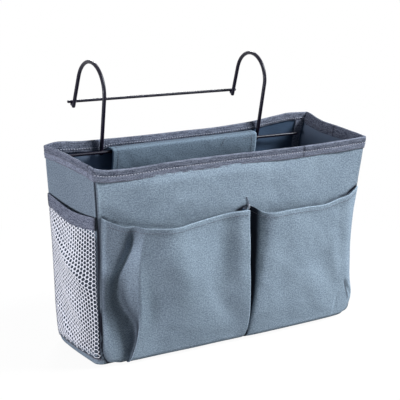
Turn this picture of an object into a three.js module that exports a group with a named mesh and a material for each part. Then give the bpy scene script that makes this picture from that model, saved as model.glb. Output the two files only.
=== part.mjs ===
// Bedside caddy: a hanging cloth bag with two pleated front pockets, a net pocket on each end
// and a wire hanger whose lower bar turns in a cloth sleeve behind the mouth.
// Millimetres, +Z up. Origin on the floor at the middle of the base, front towards -Y, left towards -X.
import * as THREE from 'three';

// Bag, outside sizes with the rim tape on
const LENGTH = 320;
const DEPTH = 110;
const HEIGHT = 200;
const BASE_LENGTH = 304;
const BASE_DEPTH = 96;
const BOTTOM_RADIUS = 11;
const END_FLARE_POWER = 3.5;
const FACE_FLARE_POWER = 1.5;
const BACK_FULL_HEIGHT = 165;
const BACK_LEAN = 2;

// Cloth, tape and the clearance between sewn layers
const CLOTH = 1.2;
const TAPE = 0.9;
const GAP = 0.3;
const TAPE_OUTSIDE = 15;
const TAPE_INSIDE = 10;
const SEAM_TAPE_WIDTH = 9;
const SEAM_TAPE_INSET = 1.5;
const SEAM_TAPE_FOOT = 16;

// Front pockets: where they part, how high their mouths stand and how their folds stand off the wall.
// Each fold is [share of the pocket's width from its left seam, distance off the wall].
const POCKET_SPLIT = 10;
const POCKET_SEAM_GAP = 0.8;
const POCKET_TOP = 149;
const POCKET_DIP = 9;
const POCKET_FOOT = 1.6;
const POCKET_TURN_UP = 9;
const LEFT_MOUTH = [[0, 0], [0.08, 4], [0.225, 21], [0.5, 27], [0.82, 23], [0.965, 18], [1, 0]];
const LEFT_FOOT = [[0, 0], [0.08, 2], [0.19, 5], [0.5, 7], [0.82, 9], [0.96, 10], [1, 0]];
const RIGHT_MOUTH = [[0, 0], [0.045, 8], [0.12, 17], [0.45, 22], [0.75, 17], [0.91, 9], [1, 0]];
const RIGHT_FOOT = [[0, 0], [0.045, 5], [0.12, 8], [0.45, 9], [0.75, 8], [0.91, 5], [1, 0]];

// Net pockets on the two ends
const NET = 1;
const NET_TOP = 152;
const NET_FOOT = 9;
const NET_EDGE_INSET = 3;
const NET_BULGE = 8;
const NET_TAPE_HEIGHT = 13;
const NET_TAPE = 1.8;
const NET_PITCH = 12;
const NET_STRAND = 2.4;

// Wire hanger
const HOOK_WIRE = 4;
const BAR_WIRE = 3.2;
const HOOK_SPACING = 194;
const HOOK_RADIUS = 30;
const HOOK_RISE = 77;
const LEG_LEAN = THREE.MathUtils.degToRad(8);
const TIP_LEAN = THREE.MathUtils.degToRad(22);
const TIP_LENGTH = 36;
const FOOT_OVERHANG = 2.5;
const WIRE_OVERHANG = 4;
const BAR_DROP = 16;
const LOWER_BAR_LENGTH = 292;
const WELD_GAP = 0.3;

// Cloth sleeve that carries the lower bar
const SLEEVE_LENGTH = 172;
const SLEEVE_FOOT = 138;

// How finely the curved pieces are divided
const WALL_ROWS = 20;
const END_WALL_ROWS = 25;
const TAPE_ROWS = 20;
const SEAM_TAPE_ROWS = 10;
const POCKET_COLUMNS = 24;
const POCKET_ROWS = 15;
const NET_TAPE_COLUMNS = 10;
const NET_TAPE_ROWS = 2;
const SLEEVE_ROWS = 24;
const HOOK_STEPS = 40;
const WIRE_SIDES = 10;

// Looks
const CLOTH_BLUE = new THREE.MeshStandardMaterial({ color: 0x8298a8, roughness: 0.85 });
const SLEEVE_GREY = new THREE.MeshStandardMaterial({ color: 0x6c7f88, roughness: 0.75 });
const TAPE_GREY = new THREE.MeshStandardMaterial({ color: 0x74717e, roughness: 0.9 });
const NET_WHITE = new THREE.MeshStandardMaterial({ color: 0xe8eaee, roughness: 0.8 });
const WIRE_BLACK = new THREE.MeshStandardMaterial({ color: 0x2b2733, roughness: 0.4, metalness: 0.3 });

const { clamp, lerp } = THREE.MathUtils;

// Every wall stops under the fold of the rim tape
const TAPE_COVER = TAPE + GAP;
const RIM_Z = HEIGHT - TAPE_COVER - CLOTH / 2;

// Half size of a wall's outer face at height z: tucked in at the bottom, flaring towards the rim
function wallFace(z, atBase, atRim, power) {
  const below = Math.max(0, BOTTOM_RADIUS - z);
  const tuck = BOTTOM_RADIUS - Math.sqrt(BOTTOM_RADIUS ** 2 - below ** 2);
  const rise = clamp(z / HEIGHT, 0, 1);
  return atBase + (atRim - atBase) * rise ** power - tuck;
}

function endFace(z) {
  return wallFace(z, BASE_LENGTH / 2, LENGTH / 2 - TAPE_COVER, END_FLARE_POWER);
}

function frontFace(z) {
  return wallFace(z, BASE_DEPTH / 2, DEPTH / 2 - TAPE_COVER, FACE_FLARE_POWER);
}

// The back wall stands upright to its full depth, and its rim leans in on the hanger's legs
function backFace(z) {
  const full = DEPTH / 2 - TAPE_COVER + BACK_LEAN;
  const rise = clamp(z / BACK_FULL_HEIGHT, 0, 1) * Math.PI / 2;
  const lean = clamp((z - BACK_FULL_HEIGHT) / (HEIGHT - BACK_FULL_HEIGHT), 0, 1) * Math.PI / 2;
  const swell = (full - BASE_DEPTH / 2) * Math.sin(rise) - BACK_LEAN * (1 - Math.cos(lean));
  return wallFace(z, BASE_DEPTH / 2, BASE_DEPTH / 2, 1) + swell;
}

// Height along a wall, with its first fifth given to the rounded bottom edge
function wallHeight(v) {
  const turn = 0.2;
  if (v < turn) {
    return BOTTOM_RADIUS * (1 - Math.cos(v / turn * Math.PI / 2));
  }
  return lerp(BOTTOM_RADIUS, RIM_Z, (v - turn) / (1 - turn));
}

// Unit normal of a surface point, from its own neighbours
function normalAt(surface, u, v) {
  const step = 1e-4;
  const across = surface(Math.min(1, u + step), v).sub(surface(Math.max(0, u - step), v));
  const along = surface(u, Math.min(1, v + step)).sub(surface(u, Math.max(0, v - step)));
  return across.cross(along).normalize();
}

// Index order that makes a closed mesh's faces point out
function facingOut(points, triangles) {
  let volume = 0;
  for (const [a, b, c] of triangles) {
    volume += points[a].dot(points[b].clone().cross(points[c]));
  }
  return volume < 0 ? triangles.map(([a, b, c]) => [a, c, b]) : triangles;
}

function closedGeometry(points, triangles) {
  const geometry = new THREE.BufferGeometry().setFromPoints(points);
  geometry.setIndex(facingOut(points, triangles).flat());
  return geometry;
}

// Closed solid of a flat pattern laid on a surface: an outer face and an inner one a thickness behind it.
// side is 1 where the surface's normal points out of the solid and -1 where it points into it.
function layOn(surface, pattern, thickness, side) {
  const outer = pattern.points.map(([u, v]) => surface(u, v));
  const inner = pattern.points.map(([u, v], k) => {
    return outer[k].clone().addScaledVector(normalAt(surface, u, v), -side * thickness);
  });
  const count = outer.length;
  const triangles = [];
  const open = new Map();
  for (const [a, b, c] of pattern.triangles) {
    triangles.push([a, b, c], [c + count, b + count, a + count]);
    for (const [from, to] of [[a, b], [b, c], [c, a]]) {
      // An edge met from both sides lies inside the pattern, and what is left over is its border
      if (!open.delete(`${to} ${from}`)) {
        open.set(`${from} ${to}`, [from, to]);
      }
    }
  }
  for (const [from, to] of open.values()) {
    triangles.push([to, from, from + count], [to, from + count, to + count]);
  }
  return closedGeometry([...outer, ...inner], triangles);
}

function addQuad(pattern, a, b, c, d) {
  pattern.triangles.push([a, b, c], [a, c, d]);
}

// Plain sheet of cloth
function sheet(surface, columns, rows, thickness, side) {
  const pattern = { points: [], triangles: [] };
  const at = (i, j) => j * (columns + 1) + i;
  for (let j = 0; j <= rows; j += 1) {
    for (let i = 0; i <= columns; i += 1) {
      pattern.points.push([i / columns, j / rows]);
      if (i > 0 && j > 0) {
        addQuad(pattern, at(i - 1, j - 1), at(i, j - 1), at(i, j), at(i - 1, j));
      }
    }
  }
  return layOn(surface, pattern, thickness, side);
}

function named(name, geometry, material) {
  const mesh = new THREE.Mesh(geometry, material.clone());
  mesh.name = name;
  return mesh;
}

// Front and back walls run the whole length of the bag
function longWall(name, face, toward) {
  const surface = (u, v) => {
    const z = wallHeight(v);
    return new THREE.Vector3(lerp(-1, 1, u) * endFace(z), toward * face(z), z);
  };
  return named(name, sheet(surface, 1, WALL_ROWS, CLOTH, -toward), CLOTH_BLUE);
}

// The end walls fit between them and step in where the rim tape lies inside
function endWall(name, toward) {
  const tapeFoot = HEIGHT - TAPE_INSIDE - SEAM_TAPE_INSET;
  const inset = (z) => CLOTH + GAP + (z > tapeFoot ? TAPE_COVER : 0);
  const surface = (u, v) => {
    const z = wallHeight(v);
    const y = lerp(inset(z) - frontFace(z), backFace(z) - inset(z), u);
    return new THREE.Vector3(toward * endFace(z), y, z);
  };
  return named(name, sheet(surface, 1, END_WALL_ROWS, CLOTH, toward), CLOTH_BLUE);
}

function basePanel() {
  const length = BASE_LENGTH - 2 * (BOTTOM_RADIUS + GAP);
  const depth = BASE_DEPTH - 2 * (BOTTOM_RADIUS + GAP);
  const mesh = named('base_panel', new THREE.BoxGeometry(length, depth, CLOTH), CLOTH_BLUE);
  mesh.position.z = CLOTH / 2;
  return mesh;
}

// Folded rim tape over a wall: [distance off the bag's middle, height] at a share of its width
function tapeFold(face, share) {
  const bend = CLOTH / 2 + TAPE_COVER;
  const leg = 0.35;
  if (share < leg) {
    const z = lerp(HEIGHT - TAPE_OUTSIDE, RIM_Z, share / leg);
    return [face(z) + TAPE_COVER, z];
  }
  if (share > 1 - leg) {
    const z = lerp(RIM_Z, HEIGHT - TAPE_INSIDE, (share - 1 + leg) / leg);
    return [face(z) - CLOTH - TAPE_COVER, z];
  }
  const turn = (share - leg) / (1 - 2 * leg) * Math.PI;
  return [face(RIM_Z) - CLOTH / 2 + bend * Math.cos(turn), RIM_Z + bend * Math.sin(turn)];
}

function longTape(name, face, toward) {
  const surface = (u, v) => {
    const [out, z] = tapeFold(face, v);
    return new THREE.Vector3(lerp(-1, 1, u) * (endFace(z) + TAPE_COVER), toward * out, z);
  };
  return named(name, sheet(surface, 1, TAPE_ROWS, TAPE, -toward), TAPE_GREY);
}

function endTape(name, toward) {
  const inset = CLOTH + TAPE_COVER + GAP;
  const surface = (u, v) => {
    const [out, z] = tapeFold(endFace, v);
    const y = lerp(inset - frontFace(z), backFace(z) - inset, u);
    return new THREE.Vector3(toward * out, y, z);
  };
  return named(name, sheet(surface, 1, TAPE_ROWS, TAPE, toward), TAPE_GREY);
}

// Tape over the seam in an inside corner, flat on the long wall
function seamTape(name, face, towardX, towardY) {
  const top = HEIGHT - TAPE_INSIDE - GAP;
  const surface = (u, v) => {
    const z = lerp(SEAM_TAPE_FOOT, top, v);
    const x = endFace(z) - CLOTH - SEAM_TAPE_INSET - SEAM_TAPE_WIDTH * u;
    return new THREE.Vector3(towardX * x, towardY * (face(z) - CLOTH - GAP), z);
  };
  return named(name, sheet(surface, 1, SEAM_TAPE_ROWS, TAPE, towardX * towardY), TAPE_GREY);
}

// Front pocket between two seams: pleats that stand off the wall, deepest at the mouth,
// and a rounded turn-up at the foot where they are sewn in
function frontPocket(name, leftSeam, rightSeam, mouth, foot) {
  const curve = (folds) => new THREE.SplineCurve(folds.map(([share, out]) => new THREE.Vector2(share, out)));
  const mouthFold = curve(mouth);
  const footFold = curve(foot);
  const turn = 0.2;
  const surface = (u, v) => {
    const angle = Math.min(1, v / turn) * Math.PI / 2;
    const rise = clamp((v - turn) / (1 - turn), 0, 1);
    const dip = POCKET_DIP * Math.sin(Math.PI * u) * rise;
    const top = lerp(POCKET_FOOT + POCKET_TURN_UP, POCKET_TOP, rise) - dip;
    const z = rise > 0 ? top : POCKET_FOOT + POCKET_TURN_UP * (1 - Math.cos(angle));
    const fold = footFold.getPoint(u).lerp(mouthFold.getPoint(u), rise);
    const x = lerp(leftSeam(z), rightSeam(z), fold.x);
    const off = GAP + CLOTH * (1 + Math.cos(angle)) + Math.max(0, fold.y) * Math.sin(angle);
    return new THREE.Vector3(x, -frontFace(z) - off, z);
  };
  return named(name, sheet(surface, POCKET_COLUMNS, POCKET_ROWS, CLOTH, 1), CLOTH_BLUE);
}

// Outer face of a net pocket: u runs from front to back and height is measured up the end wall
function netFace(toward, thickness, u, z) {
  const full = Math.sin(clamp((z - NET_FOOT) / (NET_TOP - NET_FOOT), 0, 1) * Math.PI / 2);
  const bulge = NET_BULGE * full * Math.sin(Math.PI * u);
  const y = lerp(NET_EDGE_INSET - frontFace(z), backFace(z) - NET_EDGE_INSET, u);
  return new THREE.Vector3(toward * (endFace(z) + GAP + thickness + bulge), y, z);
}

function netTape(name, toward) {
  const surface = (u, v) => netFace(toward, NET_TAPE, u, NET_TOP - NET_TAPE_HEIGHT * (1 - v));
  return named(name, sheet(surface, NET_TAPE_COLUMNS, NET_TAPE_ROWS, NET_TAPE, toward), TAPE_GREY);
}

// Six-sided gap in the net between two lines of knots, joined to them by strands
function addGap(pattern, knots, x, y, width, height) {
  const reach = (NET_PITCH - NET_STRAND) / Math.sqrt(3);
  const first = pattern.points.length;
  for (let k = 0; k < 6; k += 1) {
    const angle = (k - 2.5) * Math.PI / 3;
    pattern.points.push([(x + reach * Math.cos(angle)) / width, (y + reach * Math.sin(angle)) / height]);
  }
  for (let k = 0; k < 6; k += 1) {
    const next = (k + 1) % 6;
    addQuad(pattern, knots[k], knots[next], first + next, first + k);
  }
}

// Flat net of staggered rows of gaps in a plain selvedge. Knots lie half a pitch apart on zigzag lines.
function netPattern(width, height) {
  const half = NET_PITCH / 2;
  const rise = half * Math.sqrt(3);
  const zigzag = NET_PITCH / Math.sqrt(3) / 4;
  const columns = Math.floor((width - NET_STRAND) / NET_PITCH - 0.5);
  const rows = Math.floor((height - NET_STRAND) / rise - 0.5);
  const foot = (height - rows * rise) / 2;
  const lines = [0];
  for (let i = 0; i < 2 * columns + 2; i += 1) {
    lines.push(width / 2 + (i - columns - 0.5) * half);
  }
  lines.push(width);
  const levels = [0];
  for (let j = 0; j <= rows; j += 1) {
    levels.push(foot + j * rise);
  }
  levels.push(height);
  const pattern = { points: [], triangles: [] };
  const at = (i, j) => j * lines.length + i;
  levels.forEach((level, j) => {
    const swing = j === 0 || j === levels.length - 1 ? 0 : zigzag;
    lines.forEach((x, i) => {
      const y = level + ((i + j) % 2 === 0 ? swing : -swing);
      pattern.points.push([x / width, y / height]);
    });
  });
  for (let j = 0; j < levels.length - 1; j += 1) {
    const firstGap = 1 + (j + 1) % 2;
    let i = 0;
    while (i < lines.length - 1) {
      const open = j > 0 && j <= rows && i >= firstGap && i < firstGap + 2 * columns;
      if (open) {
        const below = [at(i, j), at(i + 1, j), at(i + 2, j)];
        const above = [at(i + 2, j + 1), at(i + 1, j + 1), at(i, j + 1)];
        const middle = (levels[j] + levels[j + 1]) / 2;
        addGap(pattern, [...below, ...above], lines[i + 1], middle, width, height);
      } else {
        addQuad(pattern, at(i, j), at(i + 1, j), at(i + 1, j + 1), at(i, j + 1));
      }
      i += open ? 2 : 1;
    }
  }
  return pattern;
}

// The net laid over the end wall, under its tape
function endNet(name, toward) {
  const top = NET_TOP - NET_TAPE_HEIGHT - GAP;
  const width = frontFace(top) + backFace(top) - 2 * NET_EDGE_INSET;
  const surface = (u, v) => netFace(toward, NET, u, lerp(NET_FOOT, top, v));
  return named(name, layOn(surface, netPattern(width, top - NET_FOOT), NET, toward), NET_WHITE);
}

// Where the hanger stands: its legs lean on the back rim, and their feet swing clear of the wall under it
const BAR_Z = HEIGHT - BAR_DROP;
const LEG_SLOPE = Math.tan(LEG_LEAN);
const LEG_REACH = HOOK_WIRE / 2 / Math.cos(LEG_LEAN);
const BAR_TO_LEG = (BAR_WIRE + HOOK_WIRE) / 2 + WELD_GAP;
const FOOT_SWING = Math.hypot(BAR_TO_LEG + LEG_REACH + FOOT_OVERHANG * LEG_SLOPE, FOOT_OVERHANG);

function barPlace() {
  let nearest = Infinity;
  const checks = 60;
  for (let k = 0; k <= checks; k += 1) {
    const up = lerp(-FOOT_SWING, RIM_Z - BAR_Z, k / checks);
    const z = BAR_Z + up;
    const lining = z > HEIGHT - TAPE_INSIDE ? TAPE_COVER : 0;
    const inside = backFace(z) - CLOTH - lining - GAP;
    const leg = BAR_TO_LEG + LEG_REACH - up * LEG_SLOPE;
    const swing = Math.sqrt(Math.max(0, FOOT_SWING ** 2 - up ** 2));
    nearest = Math.min(nearest, inside - Math.max(leg, swing));
  }
  return nearest;
}

const BAR_Y = barPlace();

// Sleeve from under the rim tape, over the front of the bar and back to the wall
function hangerSleeve() {
  const wall = (z) => backFace(z) - CLOTH - GAP;
  const top = HEIGHT - TAPE_INSIDE - GAP - CLOTH;
  const front = BAR_Y - BAR_WIRE / 2 - GAP - CLOTH;
  const over = new THREE.CubicBezierCurve(
    new THREE.Vector2(wall(top) - CLOTH, top + CLOTH / 2),
    new THREE.Vector2(BAR_Y, top + CLOTH / 2),
    new THREE.Vector2(front, top),
    new THREE.Vector2(front, BAR_Z),
  );
  const under = new THREE.CubicBezierCurve(
    new THREE.Vector2(front, BAR_Z),
    new THREE.Vector2(front, lerp(BAR_Z, SLEEVE_FOOT, 0.4)),
    new THREE.Vector2(wall(SLEEVE_FOOT) - CLOTH, lerp(BAR_Z, SLEEVE_FOOT, 0.6)),
    new THREE.Vector2(wall(SLEEVE_FOOT) - CLOTH, SLEEVE_FOOT),
  );
  const surface = (u, v) => {
    const point = v < 0.5 ? over.getPoint(v * 2) : under.getPoint(v * 2 - 1);
    return new THREE.Vector3(lerp(-0.5, 0.5, u) * SLEEVE_LENGTH, point.x, point.y);
  };
  return named('hanger_sleeve', sheet(surface, 1, SLEEVE_ROWS, CLOTH, -1), SLEEVE_GREY);
}

function roundSection(diameter, sides) {
  const circle = new THREE.Path().absarc(0, 0, diameter / 2, 0, Math.PI * 2, false);
  return new THREE.Shape(circle.getPoints(sides / 2));
}

// Hook in the hanger's own frame, with the lower bar's axis at the origin
const HOOK_CENTRE_Z = BAR_DROP + HOOK_RISE - HOOK_RADIUS;
const LEG_TOP = new THREE.Vector2(0, HOOK_CENTRE_Z - HOOK_RADIUS * Math.sin(LEG_LEAN));
LEG_TOP.x = BAR_TO_LEG - LEG_TOP.y * LEG_SLOPE;
const HOOK_CENTRE = new THREE.Vector2(LEG_TOP.x + HOOK_RADIUS * Math.cos(LEG_LEAN), HOOK_CENTRE_Z);
const TIP_OUT = new THREE.Vector2(Math.cos(TIP_LEAN), Math.sin(TIP_LEAN));
const TIP_DOWN = new THREE.Vector2(Math.sin(TIP_LEAN), -Math.cos(TIP_LEAN));
const TIP_TOP = HOOK_CENTRE.clone().addScaledVector(TIP_OUT, HOOK_RADIUS);
const TIP_END = TIP_TOP.clone().addScaledVector(TIP_DOWN, TIP_LENGTH);

class HookCurve extends THREE.Curve {
  getPoint(t, target = new THREE.Vector3()) {
    const legShare = 0.3;
    const tipShare = 0.2;
    if (t < legShare) {
      const z = lerp(-FOOT_OVERHANG, LEG_TOP.y, t / legShare);
      return target.set(0, BAR_TO_LEG - z * LEG_SLOPE, z);
    }
    if (t > 1 - tipShare) {
      const down = (t - 1 + tipShare) / tipShare * TIP_LENGTH;
      const point = TIP_TOP.clone().addScaledVector(TIP_DOWN, down);
      return target.set(0, point.x, point.y);
    }
    const angle = lerp(Math.PI + LEG_LEAN, TIP_LEAN, (t - legShare) / (1 - legShare - tipShare));
    const out = HOOK_CENTRE.x + HOOK_RADIUS * Math.cos(angle);
    return target.set(0, out, HOOK_CENTRE.y + HOOK_RADIUS * Math.sin(angle));
  }
}

function hook(name, x) {
  const settings = { steps: HOOK_STEPS, extrudePath: new HookCurve(), bevelEnabled: false };
  const section = roundSection(HOOK_WIRE, WIRE_SIDES);
  const mesh = named(name, new THREE.ExtrudeGeometry(section, settings), WIRE_BLACK);
  mesh.position.x = x;
  return mesh;
}

function bar(name, length, y, z) {
  const geometry = new THREE.CylinderGeometry(BAR_WIRE / 2, BAR_WIRE / 2, length, WIRE_SIDES);
  const mesh = named(name, geometry, WIRE_BLACK);
  mesh.rotation.z = Math.PI / 2;
  mesh.position.set(0, y, z);
  return mesh;
}

// The upper bar is welded across the outside of the hooks' tips, just short of their ends
function hanger() {
  const frame = new THREE.Group();
  const weld = TIP_END.clone().addScaledVector(TIP_DOWN, -WIRE_OVERHANG).addScaledVector(TIP_OUT, BAR_TO_LEG);
  frame.add(
    bar('hanger_lower_bar', LOWER_BAR_LENGTH, 0, 0),
    bar('hanger_upper_bar', HOOK_SPACING + HOOK_WIRE + 2 * WIRE_OVERHANG, weld.x, weld.y),
    hook('hanger_hook_left', -HOOK_SPACING / 2),
    hook('hanger_hook_right', HOOK_SPACING / 2),
  );
  frame.position.set(0, BAR_Y, BAR_Z);
  return frame;
}

function bag() {
  const body = new THREE.Group();
  const seamInset = 1;
  body.add(
    longWall('front_panel', frontFace, -1),
    longWall('back_panel', backFace, 1),
    endWall('left_gusset', -1),
    endWall('right_gusset', 1),
    basePanel(),
    longTape('front_rim_tape', frontFace, -1),
    longTape('back_rim_tape', backFace, 1),
    endTape('left_rim_tape', -1),
    endTape('right_rim_tape', 1),
    hangerSleeve(),
  );
  for (const [end, toward] of [['left', -1], ['right', 1]]) {
    body.add(
      seamTape(`front_${end}_seam_tape`, frontFace, toward, -1),
      seamTape(`back_${end}_seam_tape`, backFace, toward, 1),
      endNet(`${end}_net`, toward),
      netTape(`${end}_net_tape`, toward),
    );
  }
  const leftSeam = (z) => seamInset - endFace(z);
  const rightSeam = (z) => endFace(z) - seamInset;
  const splitLeft = () => POCKET_SPLIT - POCKET_SEAM_GAP;
  const splitRight = () => POCKET_SPLIT + POCKET_SEAM_GAP;
  body.add(
    frontPocket('left_pocket', leftSeam, splitLeft, LEFT_MOUTH, LEFT_FOOT),
    frontPocket('right_pocket', splitRight, rightSeam, RIGHT_MOUTH, RIGHT_FOOT),
  );
  return body;
}

const caddy = new THREE.Group();
caddy.add(bag(), hanger());

export default caddy;
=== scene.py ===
"""Bedside caddy: cloth bag with a bound rim, pleated front pockets, net end pockets and a wire hanger.

Shapes are worked out in millimetres in the frame of the solids and made in metres.
"""
import math

import bpy
import numpy as np
from mathutils import Matrix, Vector


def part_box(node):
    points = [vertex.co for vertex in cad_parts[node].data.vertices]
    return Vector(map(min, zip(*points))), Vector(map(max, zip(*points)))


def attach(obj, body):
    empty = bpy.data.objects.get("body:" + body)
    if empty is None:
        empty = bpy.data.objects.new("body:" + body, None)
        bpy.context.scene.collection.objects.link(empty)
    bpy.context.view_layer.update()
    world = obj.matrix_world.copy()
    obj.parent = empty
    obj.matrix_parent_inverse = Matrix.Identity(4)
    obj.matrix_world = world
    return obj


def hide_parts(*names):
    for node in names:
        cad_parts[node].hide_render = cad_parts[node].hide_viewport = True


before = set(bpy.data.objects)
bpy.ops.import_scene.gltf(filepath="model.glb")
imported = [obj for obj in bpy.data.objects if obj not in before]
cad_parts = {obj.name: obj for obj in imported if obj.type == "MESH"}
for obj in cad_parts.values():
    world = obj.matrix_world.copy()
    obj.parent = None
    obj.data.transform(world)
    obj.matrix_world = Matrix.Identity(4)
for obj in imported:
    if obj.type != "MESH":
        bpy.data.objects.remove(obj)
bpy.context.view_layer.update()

MM = 0.001
SCENE = bpy.context.scene
ENDS = (("left", -1), ("right", 1))

# Bag, as in the solids
LENGTH, DEPTH, HEIGHT = 320.0, 110.0, 200.0
BASE_LENGTH, BASE_DEPTH = 304.0, 96.0
END_FLARE_POWER, FACE_FLARE_POWER = 3.5, 1.5
BACK_FULL_HEIGHT, BACK_LEAN = 165.0, 2.0
CLOTH, TAPE, GAP = 1.2, 0.9, 0.3
TAPE_OUTSIDE, TAPE_INSIDE, TAPE_STAND = 13.0, 8.6, 0.8
TAPE_COVER = TAPE + GAP
RIM_Z = HEIGHT - TAPE_COVER - CLOTH / 2
RIM_TAPE, CORNER_TAPE, POCKET_CLOTH, SLEEVE_CLOTH = TAPE * 0.7, TAPE * 0.8, CLOTH * 0.8, CLOTH * 0.7

# Rounding of the bottom edge along the front, the ends and the back, and of the upright corners
FRONT_TUCK, END_TUCK, BACK_TUCK, NO_TUCK = 8.0, 4.0, 11.0, 0.01
CORNER_RADIUS, FOOT_CORNER, FOOT_CORNER_REACH = 2.2, 18.0, 42.0
STUFFED_CORNER, STUFFED_REACH = 0.62, 0.35

# The bag's outline: s runs from 0 to 4 round the front, right end, back and left end
CORNER_SHARE, FRONT_CORNERS = 0.03, (0, 1, 4)
SIDE_WAYS = [(1, 0), (0, 1), (-1, 0), (0, -1)]

# How the cloth has settled at the rim: [(place along the edge, rise)]
FRONT_RIM = [(-160, 0.4), (-149, -3.0), (-130, -4.7), (-80, -3.6), (0, -3.3), (75, -4.5), (125, -3.8), (160, -2.6)]
BACK_RIM = [(-160, 1.0), (-149, 3.2), (-119, 1.5), (-80, 0.7), (0, 0.2), (48, 0.7), (92, 2.6), (120, 6.0),
            (136, 7.8), (150, 7.0), (160, 6.2)]
LEFT_RIM = [(-55, 0.4), (-30, 2.0), (0, 2.6), (25, 2.8), (55, 1.0)]
RIGHT_RIM = [(-55, -2.6), (-14, 1.0), (22, 2.4), (43, 5.6), (55, 6.4)]
RIM_POWER, RIM_LIMIT, END_POWER = 3.0, 1.02, 10

# Where the filling and the hands have pushed the cloth out: (middle), (reach), (push)
PUSHES = [
    ((158, -54, 186), (22, 34, 46), (2.6, -0.4, 0.0)),
    ((154, -48, 18), (26, 34, 17), (4.6, 0.0, 0.8)),
    ((154, -49, 92), (26, 30, 42), (-2.8, 0.0, 0.0)),
    ((160, 54, 198), (15, 26, 18), (4.5, -0.6, 0.0)),
    ((-154, 4, 10), (26, 44, 15), (-3.2, 0.0, 0.0)),
]
PUSH_FLOOR = 0.5

# Loose cloth of the walls. Swells are those of the front, right end, back and left end.
# Crumples are (height, size, slant along, slant up)
SWELLS = np.array([0.8, 0.8, 0.6, 0.8])
FRONT_BOW, BOW_REACH, BOW_POWER, BOW_RISE = 2.7, 1.25, 0.9, (60, 150)
CRUMPLES = [(1.1, 46, 0.5, -0.3), (0.5, 19, -0.6, 0.0), (0.16, 8, 0.0, 0.4)]
CORNER_FADE, SIDES_APART = 34.0, 400
# Raised edge and groove of a corner seam: (height, distance from the corner, width)
SEAM_RIDGE, SEAM_GROOVE = (0.45, 2.6, 1.3), (-1.1, 0, 0.9)
RIM_CALM, FOOT_CALM, GROOVE_FOOT = (HEIGHT - 22, HEIGHT - 6), (0, 14), (4, 16)
WALL_TURN, WALL_STEP, WALL_ROWS = 0.16, 2.4, (12, 91)
BASE_ROWS, BASE_INSET, WELD_REACH = 5, 30, 0.02

# Front pockets: upright lines from the left seam to the right one, each as [(z, x, stand-off from the wall)]
LEFT_LINES = [
    [(3, -141, 0.9), (10, -146, 0.9), (17, -148, 0.9), (30, -148.5, 0.9), (55, -149.6, 0.9), (150, -151.2, 0.9)],
    [(3, -138, 2.6), (20, -143.5, 3.8), (45, -146, 3.8), (75, -148.8, 3.6), (90, -148.3, 4.4), (105, -147, 5),
     (125, -146, 4.4), (145, -145.5, 4)],
    [(3, -133, 2.6), (20, -134, 3.4), (45, -139, 3.6), (70, -145, 3.2), (88, -144.5, 4.6), (100, -141.5, 6.2),
     (112, -139, 7.8), (125, -137.6, 9.4), (134, -137, 10.2), (145, -137.6, 10)],
    [(3, -120.6, 1.6), (10, -118.4, 1.4), (20, -115, 1.4), (30, -114.8, 1.4), (40, -116.6, 1.4),
     (48, -120.4, 1.4), (57, -126.4, 1.2), (70, -132.2, 1.2), (84, -134.8, 1.2), (94, -134.5, 1.8),
     (106, -128.4, 4.2), (118, -123.2, 6.8), (129, -122, 9), (137, -122.4, 13), (145, -123.6, 17)],
    [(3, -120.6, 3.4), (18, -115.2, 4.8), (30, -114, 6), (40, -114.6, 7), (48, -116.8, 7.8), (57, -120, 9),
     (68, -123.6, 9.6), (84, -125.4, 10.2), (94, -125.4, 11), (106, -122.6, 13.2), (118, -120.2, 15.4),
     (129, -119.2, 17.6), (145, -119.4, 20.8)],
    [(3, -121.4, 6), (13, -119, 8), (26, -116, 10), (41, -115, 12.5), (57, -115.4, 14.7), (79, -117.7, 17.2),
     (100, -118.5, 18.9), (120, -118.4, 20.6), (135, -116.6, 22.2), (145, -115, 23)],
    [(3, -116, 6.8), (26, -105, 9.3), (57, -104, 12.7), (79, -107, 16), (100, -109.5, 19.4), (120, -108.5, 22.4),
     (145, -105.6, 25.4)],
    [(3, -84, 7.2), (30, -76, 11.6), (54, -74, 16), (75, -73, 20), (95, -79, 23.8), (113, -84, 26),
     (145, -84, 28)],
    [(3, -48, 8.4), (30, -46, 12.8), (54, -45, 15.2), (75, -48, 17.2), (110, -56, 20.6), (145, -62, 23.5)],
    [(3, -22, 8), (30, -18, 12), (54, -22, 13.6), (75, -23, 13.2), (110, -24.5, 14), (145, -26, 16.2)],
    [(3, 0, 8.6), (30, 3.5, 13.2), (56, 1.5, 16.4), (99, -1.5, 18), (145, -4, 19)],
    [(3, 8.2, 8.6), (14, 10.8, 12), (25, 11.7, 13.8), (40, 11.2, 15.6), (56, 10.2, 16.6), (99, 7.2, 17.8),
     (145, 4.5, 18.6)],
    [(3, 8.6, 4), (14, 8.8, 6), (40, 7.6, 8), (99, 3.8, 9), (145, 2.8, 9)],
    [(3, 9.5, 1.2), (40, 10.5, 1.2), (150, 12.6, 1.2)],
]
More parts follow.
